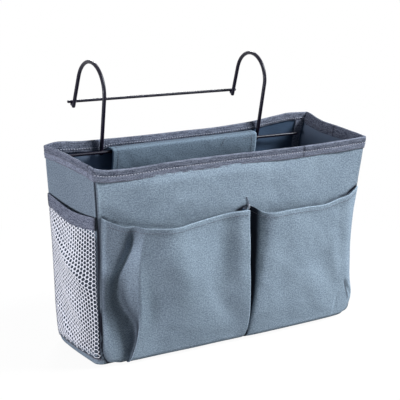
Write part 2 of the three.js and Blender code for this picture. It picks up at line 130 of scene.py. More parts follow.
RIGHT_LINES = [
    [(3, 10.5, 1.2), (40, 11.5, 1.2), (150, 14.4, 1.2)],
    [(3, 11.2, 2.2), (20, 12.2, 1.6), (50, 13.6, 1.6), (95, 14.8, 1.6), (145, 15.4, 1.6)],
    [(3, 11.9, 5), (18, 13, 6.2), (33, 15.2, 7), (48, 16.8, 7), (65, 18, 6.8), (95, 18.4, 6.2), (145, 17.8, 4.4)],
    [(3, 13, 8.4), (18, 14, 11), (33, 16, 12.4), (48, 17.8, 13), (65, 19.2, 12.6), (95, 20, 11.6),
     (130, 20.7, 10.8), (145, 20.8, 9.8)],
    [(3, 18.4, 9.4), (18, 18.8, 12.2), (30, 20, 13.6), (52, 22, 14.4), (70, 24, 14.6), (95, 26, 14.4),
     (145, 27, 13)],
    [(3, 30, 9.8), (30, 32, 13.8), (52, 33, 15), (95, 33, 16), (145, 34, 16.6)],
    [(3, 52, 9.6), (30, 53, 12.4), (75, 54, 13.9), (145, 54, 15.6)],
    [(3, 78, 9.2), (30, 78, 11.6), (75, 78, 12.9), (145, 78, 14.8)],
    [(3, 106, 8.2), (30, 106, 9.6), (75, 106, 10), (145, 104, 12)],
    [(3, 127, 6.4), (30, 128, 7.8), (75, 126, 8), (145, 122, 10)],
    [(3, 138, 3.6), (30, 143, 4.8), (75, 141, 6.2), (145, 139, 8)],
    [(3, 144, 0.9), (20, 149, 0.9), (50, 151, 0.9), (75, 152, 0.9), (150, 153.4, 0.9)],
]
# Numbers of the lines that are pressed to a sharp fold, and the height of the mouth at each line
LEFT_SHARP, RIGHT_SHARP = (5, 11), ()
LEFT_TOP = [152.4, 149.4, 146.0, 144.6, 143.6, 142.9, 141.8, 139.6, 140.6, 142.2, 143.6, 143.1, 143, 142.5]
RIGHT_TOP = [142.2, 142, 141, 139, 136.4, 135.8, 135.8, 135.5, 134.3, 137.4, 140.2, 145.2]
# Soft folds across the cloth of a pocket, and painted shade along narrow creases: (x, z, x, z, width, height or
# strength)
LEFT_FOLDS = [(-30, 60, -2, 25, 9, -1.2), (-70, 100, -60, 30, 16, 1.2), (-100, 60, -95, 20, 10, -1.2)]
RIGHT_FOLDS = [
    (100, 70, 135, 30, 9, -1.0), (118, 95, 128, 40, 8, 0.9), (60, 120, 66, 50, 14, 1.0),
    (84, 60, 110, 18, 10, 1.0), (139, 42, 147, 22, 2.2, -1.4), (128, 28, 124, 8, 2.0, -0.9),
]
RIGHT_CREASE_SHADES = [(139.5, 41, 147, 20, 1.3, 1.1)]
# Painted shade in the folds and in the slot between the pockets: by the number of an upright line, or a place
# between two, [(z, share)]
LEFT_FOLD_SHADES = {
    0: [(3, 0.9), (45, 0.85), (105, 0.85), (150, 0.8)],
    0.4: [(3, 0.3), (40, 0.15), (60, 0.62), (90, 0.62), (102, 0.1), (140, 0.0)],
    1: [(40, 0.0), (60, 0.62), (90, 0.64), (102, 0.14), (116, 0.36), (132, 0.48), (146, 0.42)],
    1.6: [(3, 0.1), (30, 0.12), (45, 0.3), (60, 0.54), (85, 0.56), (98, 0.22), (112, 0.34), (128, 0.44),
          (140, 0.44)],
    2: [(3, 0.15), (30, 0.18), (45, 0.36), (60, 0.48), (85, 0.5), (98, 0.2), (112, 0.32), (122, 0.38), (134, 0.42),
        (143, 0.36)],
    2.5: [(3, 0.34), (30, 0.38), (45, 0.45), (85, 0.46), (98, 0.1), (112, 0.26), (122, 0.34), (134, 0.4),
          (143, 0.34)],
    3: [(3, 0.5), (15, 0.6), (30, 0.66), (45, 0.54), (70, 0.48), (88, 0.38), (100, 0.0), (110, 0.1), (122, 0.42),
        (134, 0.58), (143, 0.36)],
    3.2: [(3, 0.6), (12, 0.7), (40, 0.72), (62, 0.7), (75, 0.72), (88, 0.64), (100, 0.14), (115, 0.16), (126, 0.44),
          (135, 0.58), (143, 0.4)],
    3.5: [(3, 0.7), (12, 0.8), (50, 0.8), (62, 0.8), (75, 0.76), (88, 0.54), (100, 0.24), (115, 0.16), (126, 0.4),
          (135, 0.54), (143, 0.42)],
    4: [(3, 0.8), (12, 0.92), (40, 0.92), (50, 0.75), (62, 0.48), (75, 0.34), (88, 0.24), (115, 0.1), (126, 0.24),
        (135, 0.38), (143, 0.4)],
    5: [(40, 0.0), (55, 0.24), (100, 0.26), (112, 0.12), (130, 0.2), (143, 0.26)],
    5.1: [(108, 0.0), (128, 0.2), (143, 0.26)],
    6: [(105, 0.0), (125, 0.16), (143, 0.26)],
    6.7: [(115, 0.0), (130, 0.14), (143, 0.22)],
    7: [(0, 0.0)],
    9.2: [(0, 0.0)],
    9.7: [(50, 0.0), (75, 0.14), (120, 0.14), (140, 0.05)],
    10.2: [(0, 0.0)],
    10.6: [(0, 0.0)],
    11: [(0, 0.25)],
    12: [(0, 1.0)],
    13: [(0, 1.0)],
}
RIGHT_FOLD_SHADES = {
    0: [(0, 1.0)],
    2.7: [(0, 1.0)],
    3: [(30, 0.1), (60, 0.25), (110, 0.5)],
    3.35: [(60, 0.0), (95, 0.04), (115, 0.2)],
    4: [(60, 0.0), (115, 0.03)],
    5: [(0, 0.0)],
    9: [(0, 0.0)],
    10: [(0, 0.12)],
    11: [(0, 0.12)],
}
STATION_HEIGHT, COLUMN_STEP, POCKET_ROWS = 62.0, 1.7, (8, 109)
POCKET_FOOT, POCKET_TURN_UP, POCKET_TURN, FOOT_SINK = 0.7, 6.0, 0.06, 2.5
HEM_EDGE, HEM_STITCH, HEM_LIFT, HEM_DENT = (6.2, 7.4), 5.0, 0.3, (0.15, 5.0, 0.7)
CORNER_LIFT, LEFT_LIFT, RIGHT_LIFT, LIFT_POWER = 4.0, 0.07, 0.09, 12
SEWN_SHARE, POCKET_CALM, LEAST_OFF = 0.05, 0.1, 0.7

# Net pockets. The lap is how far the left net goes round the front corner, in turns of s: [(z, share)]
NET_TOP, NET_MIDDLE, NET_FOOT, NET_MARGIN = 152.0, 80.0, 9.0, 3
NET_BACK_INSET, NET_LOW_INSET, NET_INSET_RISE, NET_RIGHT_GAP = 0.05, 0.01, (96, 136), 0.05
NET_LAP = [(3, 0.04), (9, 0.026), (17, 0.012), (30, 0.008), (55, 0.0), (82, -0.014), (160, -0.014)]
NET_BULGE, NET_TAPE_HEIGHT, NET_UNDER_TAPE, NET_STAND = 7.0, 13.0, 4.0, 1.3
NET, NET_PITCH, NET_STEP, NET_SLANT = 0.55, 4.2, 4.1, 0.2
NET_STRAND, NET_BACK_STRAND = 0.7, 1.4
NET_SAG, NET_SAG_FROM, NET_SAG_POWER, NET_BULGE_POWER = 4.5, 60, 1.15, 1.3
# Painted shade on the cloth behind the nets, stronger toward the front than toward the back
NET_SHADE, NET_BACK_SHADE, NET_YARN_SHARE = 0.86, 0.5, 0.6
NET_GAP_CORNERS = [(2 / 3, 0), (1 / 3, 0.5), (-1 / 3, 0.5), (-2 / 3, 0), (-1 / 3, -0.5), (1 / 3, -0.5)]
NET_FOLD_WAY, NET_FOLD_DRAWN, NET_FOLD, NET_CRUMPLE = (0.65, 0.76), 0.25, 1.9, 0.4
NET_CREASE, NET_CREASE_LINE = 3.4, (12, 124, 84, 81, 6)
NET_TAPE_LEG, NET_TAPE_BEND, NET_TAPE_STAND, NET_TAPE_THICKNESS = 0.44, 0.9, 0.75, 0.45
# The net's tape is painted darker all over and more so at its ends, a painted shade, with rubbed wear near its fold
NET_TAPE_ROWS, NET_TAPE_WEAR, NET_TAPE_SHADE, NET_TAPE_ENDS = (11, 7, 9), (0.5, 0.46, 0.03), 0.1, (0.6, 0, 0.02)
NET_CORD, NET_CORD_SIDES, NET_CORD_AT = 0.45, 8, 0.004

# Hanger. Its hooks are bent by hand: (radius, rise above the rim, lean and length of the tip, foot's step aside)
BAR = [(low + high) / 2 / MM for low, high in zip(*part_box("hanger_lower_bar"))]
BAR_Y, BAR_Z = BAR[1], BAR[2]
HOOK_WIRE, BAR_WIRE, WELD_GAP = 4.0, 3.2, 0.3
HOOK_SPACING, LEG_LEAN, BAR_TILT = 194.0, math.radians(8), 5.2
HOOKS = {"left": (30.0, 77.0, math.radians(22), 36.0, 0.0), "right": (27.2, 74.4, math.radians(17), 33.5, -3.2)}
FOOT_OVERHANG, WIRE_OVERHANG, LOWER_BAR_LENGTH, BAR_TIP = 2.5, 4.0, 292.0, 1
LEG_SLOPE, BAR_DROP = math.tan(LEG_LEAN), HEIGHT - BAR_Z
BAR_TO_LEG = (BAR_WIRE + HOOK_WIRE) / 2 + WELD_GAP
BEAD_HALF, BEAD_LUMP, BEAD_RINGS, BEAD_SIDES = np.array([2.7, 2.3, 2.0]), 0.16, 9, 14

# Sleeve of the lower bar
SLEEVE_LENGTH, SLEEVE_FOOT, SLEEVE_ROOM, SLEEVE_MIDDLE = 175.5, 138.0, 4.0, -1.7
SLEEVE_TOP, SLEEVE_SHOULDER, SLEEVE_TURN = 0.6, 3.0, 0.2
SLEEVE_CALM, SLEEVE_HOLD, SLEEVE_GRID, SLEEVE_WEAR = (0.25, 0.55), 0.35, (110, 60), (0.6, 0, 0.9)
# Rows of stitches on it, as shares across and up: (from, from, to, to)
SLEEVE_ROWS = [(0.03, 0.95, 0.97, 0.95), (0.965, 0.95, 0.965, 0.04), (0.035, 0.04, 0.035, 0.95),
               (0.965, 0.05, 0.035, 0.05), (0.90, 0.78, 0.965, 0.78), (0.74, 0.72, 0.78, 0.86)]

# Camera fitted to the rim, the base and the hooks, for a square picture
CAMERA_TARGET = Vector((-10, 0, 137.9)) * MM
CAMERA_AZIMUTH, CAMERA_ELEVATION, CAMERA_ROLL = (math.radians(a) for a in (-31.81, 14.76, 0.51))
CAMERA_DISTANCE = 1.205
FOCAL_PIXELS, PICTURE_PIXELS, SENSOR = 1173, 400, 36

CLOTH_MAP = "cloth_mm"
LATTICE_SIZE = 64
LATTICE = np.random.default_rng(11).uniform(-1, 1, (6, LATTICE_SIZE, LATTICE_SIZE))
NUDGE, TINY = 1e-3, 1e-9


def spread(*values):
    """The values as arrays of one shape."""
    return np.broadcast_arrays(*(np.asarray(value, float) for value in values))


def unit(vectors):
    return vectors / np.maximum(np.linalg.norm(vectors, axis=-1, keepdims=True), TINY)


def spline(knots, at):
    """Smooth curve through knots [(place, value)], at an array of places."""
    x, y = np.array(knots, float).T
    at = np.clip(at, x[0], x[-1])
    step = np.diff(x)
    slope = np.diff(y) / step
    tangent = np.empty_like(y)
    tangent[1:-1] = (step[1:] * slope[:-1] + step[:-1] * slope[1:]) / (step[1:] + step[:-1])
    tangent[0], tangent[-1] = slope[0], slope[-1]
    k = np.clip(np.searchsorted(x, at, side="right") - 1, 0, len(step) - 1)
    return hermite((at - x[k]) / step[k], step[k], y[k], y[k + 1], tangent[k], tangent[k + 1])


def hermite(t, step, low, high, leave, arrive):
    """Curve at a share t of a step from low to high, with the slopes at both ends."""
    start = t * (1 - t) ** 2 * step * leave
    end = t * t * (t - 1) * step * arrive
    return low + (high - low) * t * t * (3 - 2 * t) + start + end


def within(value):
    """The value kept from 0 to 1."""
    return np.clip(value, 0, 1)


def ease(low, high, at):
    t = within((at - low) / (high - low))
    return t * t * (3 - 2 * t)


def band(start, full, fade, end, at):
    """1 from full to fade, which comes up from start and goes down to end."""
    return ease(start, full, at) * (1 - ease(fade, end, at))


def hump(at, width):
    """Bell of height 1 about 0."""
    return np.exp(-(at / width) ** 2)


def bell(at, height, place, width):
    return height * hump(at - place, width)


def arch(share):
    """0 at both ends of the way from 0 to 1, and 1 at its middle."""
    return np.sin(math.pi * share)


def steps(places, counts):
    """Values from the first place to the last, with a count of even steps from each place to the next."""
    parts = [np.linspace(a, b, n, endpoint=False) for a, b, n in zip(places[:-1], places[1:], counts)]
    return np.append(np.concatenate(parts), places[-1])


def even_grid(columns, rows):
    return np.meshgrid(np.linspace(0, 1, columns), np.linspace(0, 1, rows))


def ripple(a, b, size, layer):
    """Smooth noise from -1 to 1 over a plane, with bumps of about the given size."""
    a, b = np.asarray(a) / size, np.asarray(b) / size
    i, j = np.floor(a).astype(int), np.floor(b).astype(int)
    u, v = (t ** 3 * (t * (6 * t - 15) + 10) for t in (a - i, b - j))
    pick = lambda di, dj: LATTICE[layer][(i + di) % LATTICE_SIZE, (j + dj) % LATTICE_SIZE]
    return (pick(0, 0) * (1 - u) + pick(1, 0) * u) * (1 - v) + (pick(0, 1) * (1 - u) + pick(1, 1) * u) * v


def crease(x, z, x0, z0, x1, z1, width):
    """Height from 0 to 1 of a soft fold along a line between two places, full at its middle."""
    dx, dz = x1 - x0, z1 - z0
    t = within(((x - x0) * dx + (z - z0) * dz) / (dx * dx + dz * dz))
    gap = np.hypot(x - x0 - t * dx, z - z0 - t * dz)
    return hump(gap, width) * (0.35 + 0.65 * arch(0.15 + 0.7 * t))


# Walls of the bag
def tuck(z, radius):
    below = np.clip(radius - z, 0, radius)
    return radius - np.sqrt(radius ** 2 - below ** 2)


def flare(base, full, power, z):
    return base / 2 + (full / 2 - TAPE_COVER - base / 2) * within(z / HEIGHT) ** power


def end_face(z, radius=END_TUCK):
    return flare(BASE_LENGTH, LENGTH, END_FLARE_POWER, z) - tuck(z, radius)


def front_face(z, radius=FRONT_TUCK):
    return flare(BASE_DEPTH, DEPTH, FACE_FLARE_POWER, z) - tuck(z, radius)


def back_face(z):
    full = DEPTH / 2 - TAPE_COVER + BACK_LEAN
    rise = within(z / BACK_FULL_HEIGHT) * math.pi / 2
    lean = within((z - BACK_FULL_HEIGHT) / (HEIGHT - BACK_FULL_HEIGHT)) * math.pi / 2
    swell = (full - BASE_DEPTH / 2) * np.sin(rise) - BACK_LEAN * (1 - np.cos(lean))
    return BASE_DEPTH / 2 + swell - tuck(z, BACK_TUCK)


def settle(x, y, z):
    """Points in the bag's soft set: the rim has sunk in front and been drawn up behind, where the hanger pulls."""
    share = within((y + DEPTH / 2) / DEPTH)
    between = lambda at: spline(FRONT_RIM, at) * (1 - share) + spline(BACK_RIM, at) * share
    rise = between(x)
    near_end = within(np.abs(x) / (LENGTH / 2)) ** END_POWER
    for side, knots in ((-1, LEFT_RIM), (1, RIGHT_RIM)):
        rise = rise + (x * side > 0) * near_end * (spline(knots, y) - between(side * LENGTH / 2))
    points = np.stack([x, y, z], -1)
    settled = np.stack([x, y, z + rise * np.clip(z / HEIGHT, 0, RIM_LIMIT) ** RIM_POWER], -1)
    for middle, reach, push in PUSHES:
        near = np.exp(-(((points - middle) / reach) ** 2).sum(-1)) * (z > PUSH_FLOOR)
        settled = settled + near[..., None] * push
    return settled


def corner_radius(z, full=1.0):
    """Rounding of an upright corner, which grows toward the foot by a share of the full amount."""
    return CORNER_RADIUS + full * (FOOT_CORNER - CORNER_RADIUS) * within(1 - z / FOOT_CORNER_REACH) ** 2


def outline(s, z, out):
    """(x, y) at a height, moved out of the bag by a distance."""
    s, z, out = spread(s, z, out)
    near = np.minimum.reduce([np.abs(s - corner) for corner in FRONT_CORNERS])
    radius = corner_radius(z, 1 - STUFFED_CORNER * hump(near, STUFFED_REACH))
    a, f, b = end_face(z), front_face(z), back_face(z)
    corners = [(-a, -f), (a, -f), (a, b), (-a, b)]
    side = np.floor(s).astype(int) % 4
    t = s - np.floor(s)
    turn = np.where(t < CORNER_SHARE, t / CORNER_SHARE - 1, 0)
    turn = np.where(t > 1 - CORNER_SHARE, (t - 1) / CORNER_SHARE + 1, turn)
    angle = turn * math.pi / 4
    run = within((t - CORNER_SHARE) / (1 - 2 * CORNER_SHARE))
    reach = radius + out
    x, y = np.zeros_like(z), np.zeros_like(z)
    for k, (dx, dy) in enumerate(SIDE_WAYS):
        nx, ny = dy, -dx
        (x0, y0), (x1, y1) = corners[k], corners[(k + 1) % 4]
        cx = (x0 + radius * dx) * (1 - run) + (x1 - radius * dx) * run - radius * nx
        cy = (y0 + radius * dy) * (1 - run) + (y1 - radius * dy) * run - radius * ny
        x = np.where(side == k, cx + reach * (np.cos(angle) * nx + np.sin(angle) * dx), x)
        y = np.where(side == k, cy + reach * (np.cos(angle) * ny + np.sin(angle) * dy), y)
    return x, y


def outline_places(step):
    """Values of s that follow the corners closely and the sides at about the given step."""
    places = []
    for k in range(4):
        length = DEPTH if k % 2 else LENGTH
        close = CORNER_SHARE + 5.0 / length
        count = int(length / step) - 1
        t = steps([0, CORNER_SHARE, close, 1 - close, 1 - CORNER_SHARE, 1], [5, 6, count, 6, 5])
        places.append(k + t[:-1])
    return np.concatenate(places)


def from_corner(s):
    """Distance along the outline from the nearest upright corner, about, in millimetres."""
    t = s - np.floor(s)
    length = np.where(np.floor(s) % 2 == 0, LENGTH, DEPTH)
    near = np.minimum(t, 1 - t)
    arc = CORNER_RADIUS * math.pi / 4
    return np.where(near < CORNER_SHARE, near / CORNER_SHARE * arc, arc + (near - CORNER_SHARE) * length)


def wall_out(s, z):
    """How far the wall's cloth stands off its plain shape: soft swells, crumples and the sunk corner seams."""
    side = np.floor(s).astype(int) % 4
    t = s - np.floor(s)
    way = from_corner(s)
    run = np.where(side % 2 == 0, t * LENGTH, t * DEPTH) + SIDES_APART * side
    swell = SWELLS[side] * arch(t) * arch(within(z / HEIGHT))
    bow = arch(within(t * BOW_REACH) ** BOW_POWER) * ease(*BOW_RISE, z)
    swell = swell + FRONT_BOW * bow * (side == 0)
    crumple = sum(height * ripple(run + along * z, z + up * run, size, layer)
                  for layer, (height, size, along, up) in enumerate(CRUMPLES))
    loose = swell + crumple * (1 - hump(way, CORNER_FADE))
    painted_shade = bell(way, *SEAM_RIDGE) + bell(way, *SEAM_GROOVE)
    return (loose * ease(*FOOT_CALM, z) + painted_shade * ease(*GROOVE_FOOT, z)) * (1 - ease(*RIM_CALM, z))


def wall_height(v):
    bent = BACK_TUCK * (1 - np.cos(within(v / WALL_TURN) * math.pi / 2))
    straight = BACK_TUCK + (RIM_Z - BACK_TUCK) * (v - WALL_TURN) / (1 - WALL_TURN)
    return np.where(v < WALL_TURN, bent, straight)


# Making of meshes
def show(name, data):
    made = bpy.data.objects.new(name, data)
    SCENE.collection.objects.link(made)
    return made


def mesh_piece(name, points, faces, flat=None, marks=None):
    """Object from points in millimetres, with each point's place on the flat cloth and marks as attributes."""
    mesh = bpy.data.meshes.new(name)
    mesh.from_pydata((np.asarray(points) * MM).tolist(), [], [list(map(int, face)) for face in faces])
    mesh.update()
    for key, values in (marks or {}).items():
        attribute = mesh.attributes.new(key, "FLOAT", "POINT")
        attribute.data.foreach_set("value", np.asarray(values, np.float32).ravel())
    if flat is not None:
        corner = np.zeros(len(mesh.loops), np.int32)
        mesh.loops.foreach_get("vertex_index", corner)
        layer = mesh.uv_layers.new(name=CLOTH_MAP)
        layer.uv.foreach_set("vector", np.asarray(flat, np.float32)[corner].ravel())
    mesh.polygons.foreach_set("use_smooth", np.ones(len(mesh.polygons), bool))
    return show(name, mesh)


def grid_faces(rows, columns, closed=False):
    faces = []
    for j in range(rows - 1):
        for i in range(columns if closed else columns - 1):
            k = (i + 1) % columns
            faces.append((j * columns + i, j * columns + k, (j + 1) * columns + k, (j + 1) * columns + i))
    return faces


def ring_faces(rings, sides, first=0, flip=False):
    """Faces round a run of rings of points, with both ends closed."""
    faces = grid_faces(rings, sides, True) + [range(sides)[::-1], range((rings - 1) * sides, rings * sides)]
    return [[first + k for k in (face[::-1] if flip else face)] for face in faces]


def lengths(points):
    return np.concatenate([[0], np.cumsum(np.linalg.norm(np.diff(points, axis=0), axis=1))])


def grid_flat(points):
    """Place of each point of a grid on the flat cloth, by the lengths along its own row and column."""
    rows, columns = points.shape[:2]
    across = np.stack([lengths(row) for row in points])
    up = np.stack([lengths(points[:, k]) for k in range(columns)], 1)
    return np.stack([across - across[:, columns // 2, None], up - up[rows // 2]], -1).reshape(-1, 2)


def cloth_piece(name, points, thickness, marks, closed=False, inner_slot=0):
    """Sheet over a grid of points on its outer face, given its thickness behind that face."""
    rows, columns = points.shape[:2]
    piece = mesh_piece(name, points.reshape(-1, 3), grid_faces(rows, columns, closed), grid_flat(points), marks)
    thicken(piece, thickness, inner_slot)
    return piece


def thicken(piece, thickness, inner_slot=0, offset=-1):
    solid = piece.modifiers.new("thickness", "SOLIDIFY")
    solid.thickness = thickness * MM
    solid.offset = offset
    solid.use_even_offset = False
    solid.material_offset = inner_slot


def normals_of(surface, u, v):
    """Points of surface(u, v) and unit normals there."""
    across = surface(u + NUDGE, v) - surface(u - NUDGE, v)
    along = surface(u, v + NUDGE) - surface(u, v - NUDGE)
    return surface(u, v), unit(np.cross(across, along))


# Stitches of the seams: (pitch, thread, then tilt to either side and share of the pitch)
RIM_STITCH, EDGE_STITCH, HEM_STITCHES = (3.0, 0.85, 0.2, 0.66), (2.4, 0.6), (2.8, 0.6)
NET_STITCH, SLEEVE_STITCH = (2.7, 0.5), (2.8, 0.5)
# Rings of a stitch: (place along it, share of its thickness)
STITCH_RINGS = [(-0.5, 0.25), (-0.36, 0.8), (0.0, 1.0), (0.36, 0.8), (0.5, 0.25)]
STITCH_SIDES, STITCH_ARCH = 6, 0.30


def stitch_rows(name, rows, pitch, thread, tilt=0.0, fill=0.78):
    """Running stitches along paths: rows is a list of (points, normals) in millimetres."""
    angle = np.arange(STITCH_SIDES) / STITCH_SIDES * 2 * math.pi
    points, faces = [], []
    for path, normal in rows:
        way = lengths(path)
        count = max(1, int(way[-1] / pitch))
        look_up = lambda table, place: np.array([np.interp(place, way, table[:, c]) for c in range(3)])
        for k in range(count):
            ends = (np.array([0.5 - fill / 2, 0.5 + fill / 2]) + k) * way[-1] / count
            a, b = (look_up(path, end) for end in ends)
            length = np.linalg.norm(b - a)
            run, out = unit(b - a), look_up(normal, ends.mean())
            out = unit(out - run * out.dot(run))
            beside = np.cross(run, out)
            lean = tilt if k % 2 else -tilt
            run, beside = (run * math.cos(lean) + beside * math.sin(lean),
                           beside * math.cos(lean) - run * math.sin(lean))
            faces += ring_faces(len(STITCH_RINGS), STITCH_SIDES, len(points))
            for at, size in STITCH_RINGS:
                arch = out * thread * STITCH_ARCH * (1 - 4 * at * at)
                centre = (a + b) / 2 + run * at * length + arch
                points += [centre + (math.cos(w) * beside + math.sin(w) * out) * thread / 2 * size for w in angle]
    return mesh_piece(name, np.array(points), faces)


def rings_along(path, across, beside, radius, sides):
    """Rings of points about a path, from two directions square to it and a radius, one each or one for all."""
    angle = np.arange(sides)[None, :, None] / sides * 2 * math.pi
    across, beside = (np.broadcast_to(way, path.shape)[:, None] for way in (across, beside))
    reach = np.broadcast_to(radius, len(path))[:, None, None]
    return (path[:, None] + (np.cos(angle) * across + np.sin(angle) * beside) * reach).reshape(-1, 3)


TIP_PLACES, TIP_REACH = np.array([0.45, 0.75, 0.95]), 0.6


def tube(path, radius, across, sides=16):
    """Points and faces of a round wire along a path that lies in a plane square to across, with rounded ends."""
    path = np.asarray(path, float)
    tangent = unit(np.gradient(path, axis=0))
    reach = radius * TIP_REACH * TIP_PLACES[:, None]
    small = np.sqrt(1 - TIP_PLACES ** 2)
    size = np.concatenate([small[::-1], np.ones(len(path)), small])
    path = np.concatenate([path[0] - tangent[0] * reach[::-1], path, path[-1] + tangent[-1] * reach])
    tangent = np.pad(tangent, ((len(small), len(small)), (0, 0)), "edge")
    points = rings_along(path, across, np.cross(tangent, across), radius * size, sides)
    return points, ring_faces(len(path), sides, flip=True)


# Materials
def linear(*rgb):
    """Linear colour of an sRGB one given from 0 to 255."""
    return tuple(c / 255 / 12.92 if c < 10.3 else ((c / 255 + 0.055) / 1.055) ** 2.4 for c in rgb) + (1,)


def node(tree, kind, inputs=None, **settings):
    made = tree.nodes.new(kind)
    for key, value in settings.items():
        setattr(made, key, value)
    for socket, value in (inputs or {}).items():
        if isinstance(value, bpy.types.NodeSocket):
            tree.links.new(value, made.inputs[socket])
        else:
            made.inputs[socket].default_value = value
    return made


def maths(tree, operation, a, b=0.0, c=0.0):
    return node(tree, "ShaderNodeMath", {0: a, 1: b, 2: c}, operation=operation).outputs[0]


def vary(tree, tone, noise, share):
    """The tone moved up and down by a share of a noise."""
    return maths(tree, "MULTIPLY_ADD", noise, share, maths(tree, "ADD", tone, -share / 2))


def waves(tree, place, pitch):
    return maths(tree, "SINE", maths(tree, "MULTIPLY", place, math.pi / pitch))


def blend_colour(tree, share, a, b):
    return node(tree, "ShaderNodeMix", {0: share, 6: a, 7: b}, data_type="RGBA").outputs[2]


def clamped(tree, value):
    return node(tree, "ShaderNodeClamp", {0: value}).outputs[0]


def noise_at(tree, place, scale, detail=3.0, roughness=0.55, drawn=1.0):
    """Noise at a place, drawn out along x by less than 1."""
    if drawn != 1.0:
        place = node(tree, "ShaderNodeMapping", {0: place, 3: (drawn, 1.0, 1.0)}).outputs[0]
    settings = {"Vector": place, "Scale": scale, "Detail": detail, "Roughness": roughness}
    return node(tree, "ShaderNodeTexNoise", settings).outputs[0]


def marked(tree, name):
    return node(tree, "ShaderNodeAttribute", attribute_name=name).outputs["Fac"]


def new_material(name, sockets):
    """Material with its node tree and its shader, whose sockets are set."""
    material = bpy.data.materials.new(name)
    material.use_nodes = True
    shader = material.node_tree.nodes["Principled BSDF"]
    for socket, value in sockets.items():
        shader.inputs[socket].default_value = value
    return material, material.node_tree, shader


def surface_of(tree, shader, colour, height, depth, strength):
    """Colour of a shader, and bumps of a depth in millimetres by a height."""
    bump = node(tree, "ShaderNodeBump", {"Strength": strength, "Distance": depth * MM, "Height": height})
    tree.links.new(colour, shader.inputs["Base Color"])
    tree.links.new(bump.outputs[0], shader.inputs["Normal"])


# Noises of yarn and paint, per metre, depths of their bumps in millimetres, and where paint is rubbed
YARN_GRAIN, YARN_PATCH, YARN_BUMP = 900.0, 40.0, 0.1
PAINT_PEEL, PAINT_PATCH, PAINT_BUMP, PAINT_RUB = 700.0, 90.0, 0.08, {1: 0.62, 2: 0.8, 3: 0.0, 4: 1.0}
# Noises of woven cloth, per millimetre, and what they do to its tone
SLUB_SCALE, SLUB_DRAWN, SLUB_ROUGHNESS, SLUB_HEIGHT = 0.9, 0.35, 0.16, 0.6
FLECK_SCALE, FLECK_SHARE, MOTTLE_SCALE, MOTTLE_SHARE = 0.75, 2.8, 0.03, 0.5
STREAK_SCALE, STREAK_DRAWN, WEAVE_SHARE, RIB_HEIGHT = 0.8, 0.12, 0.10, 0.5
# Specular level of cloth, the share by which the worn mark lightens, and the tone of painted shade as shares of the
# shade colour
CLOTH_SPECULAR, WEAR_AND_LIGHT_SHARE, PAINTED_SHADE_TONE = 0.12, 0.55, (0.06, 0.054, 0.072)


def woven(name, colour, shade, pitch=0.75, roughness=0.82, depth=0.12, grain=1.0, rib=0.0, streak=0.0, deep=0.97,
          worn="wear_and_light", pale=(1.5, 1.5, 1.5)):
    """Plain weave at a thread pitch in millimetres, with slubs and mottling between a colour and its shade.

    By the mark called worn, which carries rubbed wear and painted light, it turns to the colour times pale, and by
    the painted-shade mark it darkens, up to deep.
    """
    material, tree, shader = new_material(name, {"Roughness": roughness, "Specular IOR Level": CLOTH_SPECULAR})
    flat = node(tree, "ShaderNodeUVMap", uv_map=CLOTH_MAP).outputs[0]
    u, v = node(tree, "ShaderNodeSeparateXYZ", {0: flat}).outputs[:2]
    over = maths(tree, "MULTIPLY", waves(tree, u, pitch), waves(tree, v, pitch))
    slub = noise_at(tree, flat, SLUB_SCALE, 2.0, drawn=SLUB_DRAWN)
    tone = vary(tree, 0.5, slub, grain)
    tone = vary(tree, tone, noise_at(tree, flat, FLECK_SCALE, 1.0, 0.8), FLECK_SHARE * grain)
    tone = vary(tree, tone, noise_at(tree, flat, MOTTLE_SCALE), MOTTLE_SHARE)
    tone = maths(tree, "MULTIPLY_ADD", over, WEAVE_SHARE, tone)
    if streak:
        tone = vary(tree, tone, noise_at(tree, flat, STREAK_SCALE, 2.0, 0.7, STREAK_DRAWN), streak)
    face = blend_colour(tree, clamped(tree, tone), shade, colour)
    light = tuple(min(1.0, c * p) for c, p in zip(colour, pale)) + (1,)
    dark = tuple(c * d for c, d in zip(shade, PAINTED_SHADE_TONE)) + (1,)
    # Rubbed wear and painted light both lighten the cloth by the worn mark
    face = blend_colour(tree, maths(tree, "MULTIPLY", marked(tree, worn), WEAR_AND_LIGHT_SHARE), face, light)
    # Painted shade: the cloth darkens where the painted-shade mark is high
    face = blend_colour(tree, maths(tree, "MULTIPLY", marked(tree, "painted_shade"), deep), face, dark)
    rough = maths(tree, "MULTIPLY_ADD", slub, SLUB_ROUGHNESS, roughness - SLUB_ROUGHNESS / 2)
    tree.links.new(rough, shader.inputs["Roughness"])
    height = maths(tree, "MULTIPLY_ADD", slub, SLUB_HEIGHT, maths(tree, "ABSOLUTE", over))
    if rib:
        height = maths(tree, "MULTIPLY_ADD", waves(tree, u, rib / 2), RIB_HEIGHT, height)
    surface_of(tree, shader, face, height, depth, 0.6)
    return material


def yarn(name, colour, shade, sheen=0.2):
    """Spun thread: fine twisted grain in the colour and the bump."""
    settings = {"Roughness": 0.7, "Specular IOR Level": 0.3, "Sheen Weight": sheen, "Sheen Roughness": 0.5}
    material, tree, shader = new_material(name, settings)
    place = node(tree, "ShaderNodeTexCoord").outputs["Object"]
    grain = noise_at(tree, place, YARN_GRAIN)
    patch = noise_at(tree, place, YARN_PATCH, 2.0)
    tone = maths(tree, "MULTIPLY_ADD", grain, 0.7, maths(tree, "MULTIPLY_ADD", patch, 0.5, -0.1))
    surface_of(tree, shader, blend_colour(tree, clamped(tree, tone), shade, colour), grain, YARN_BUMP, 0.5)
    return material


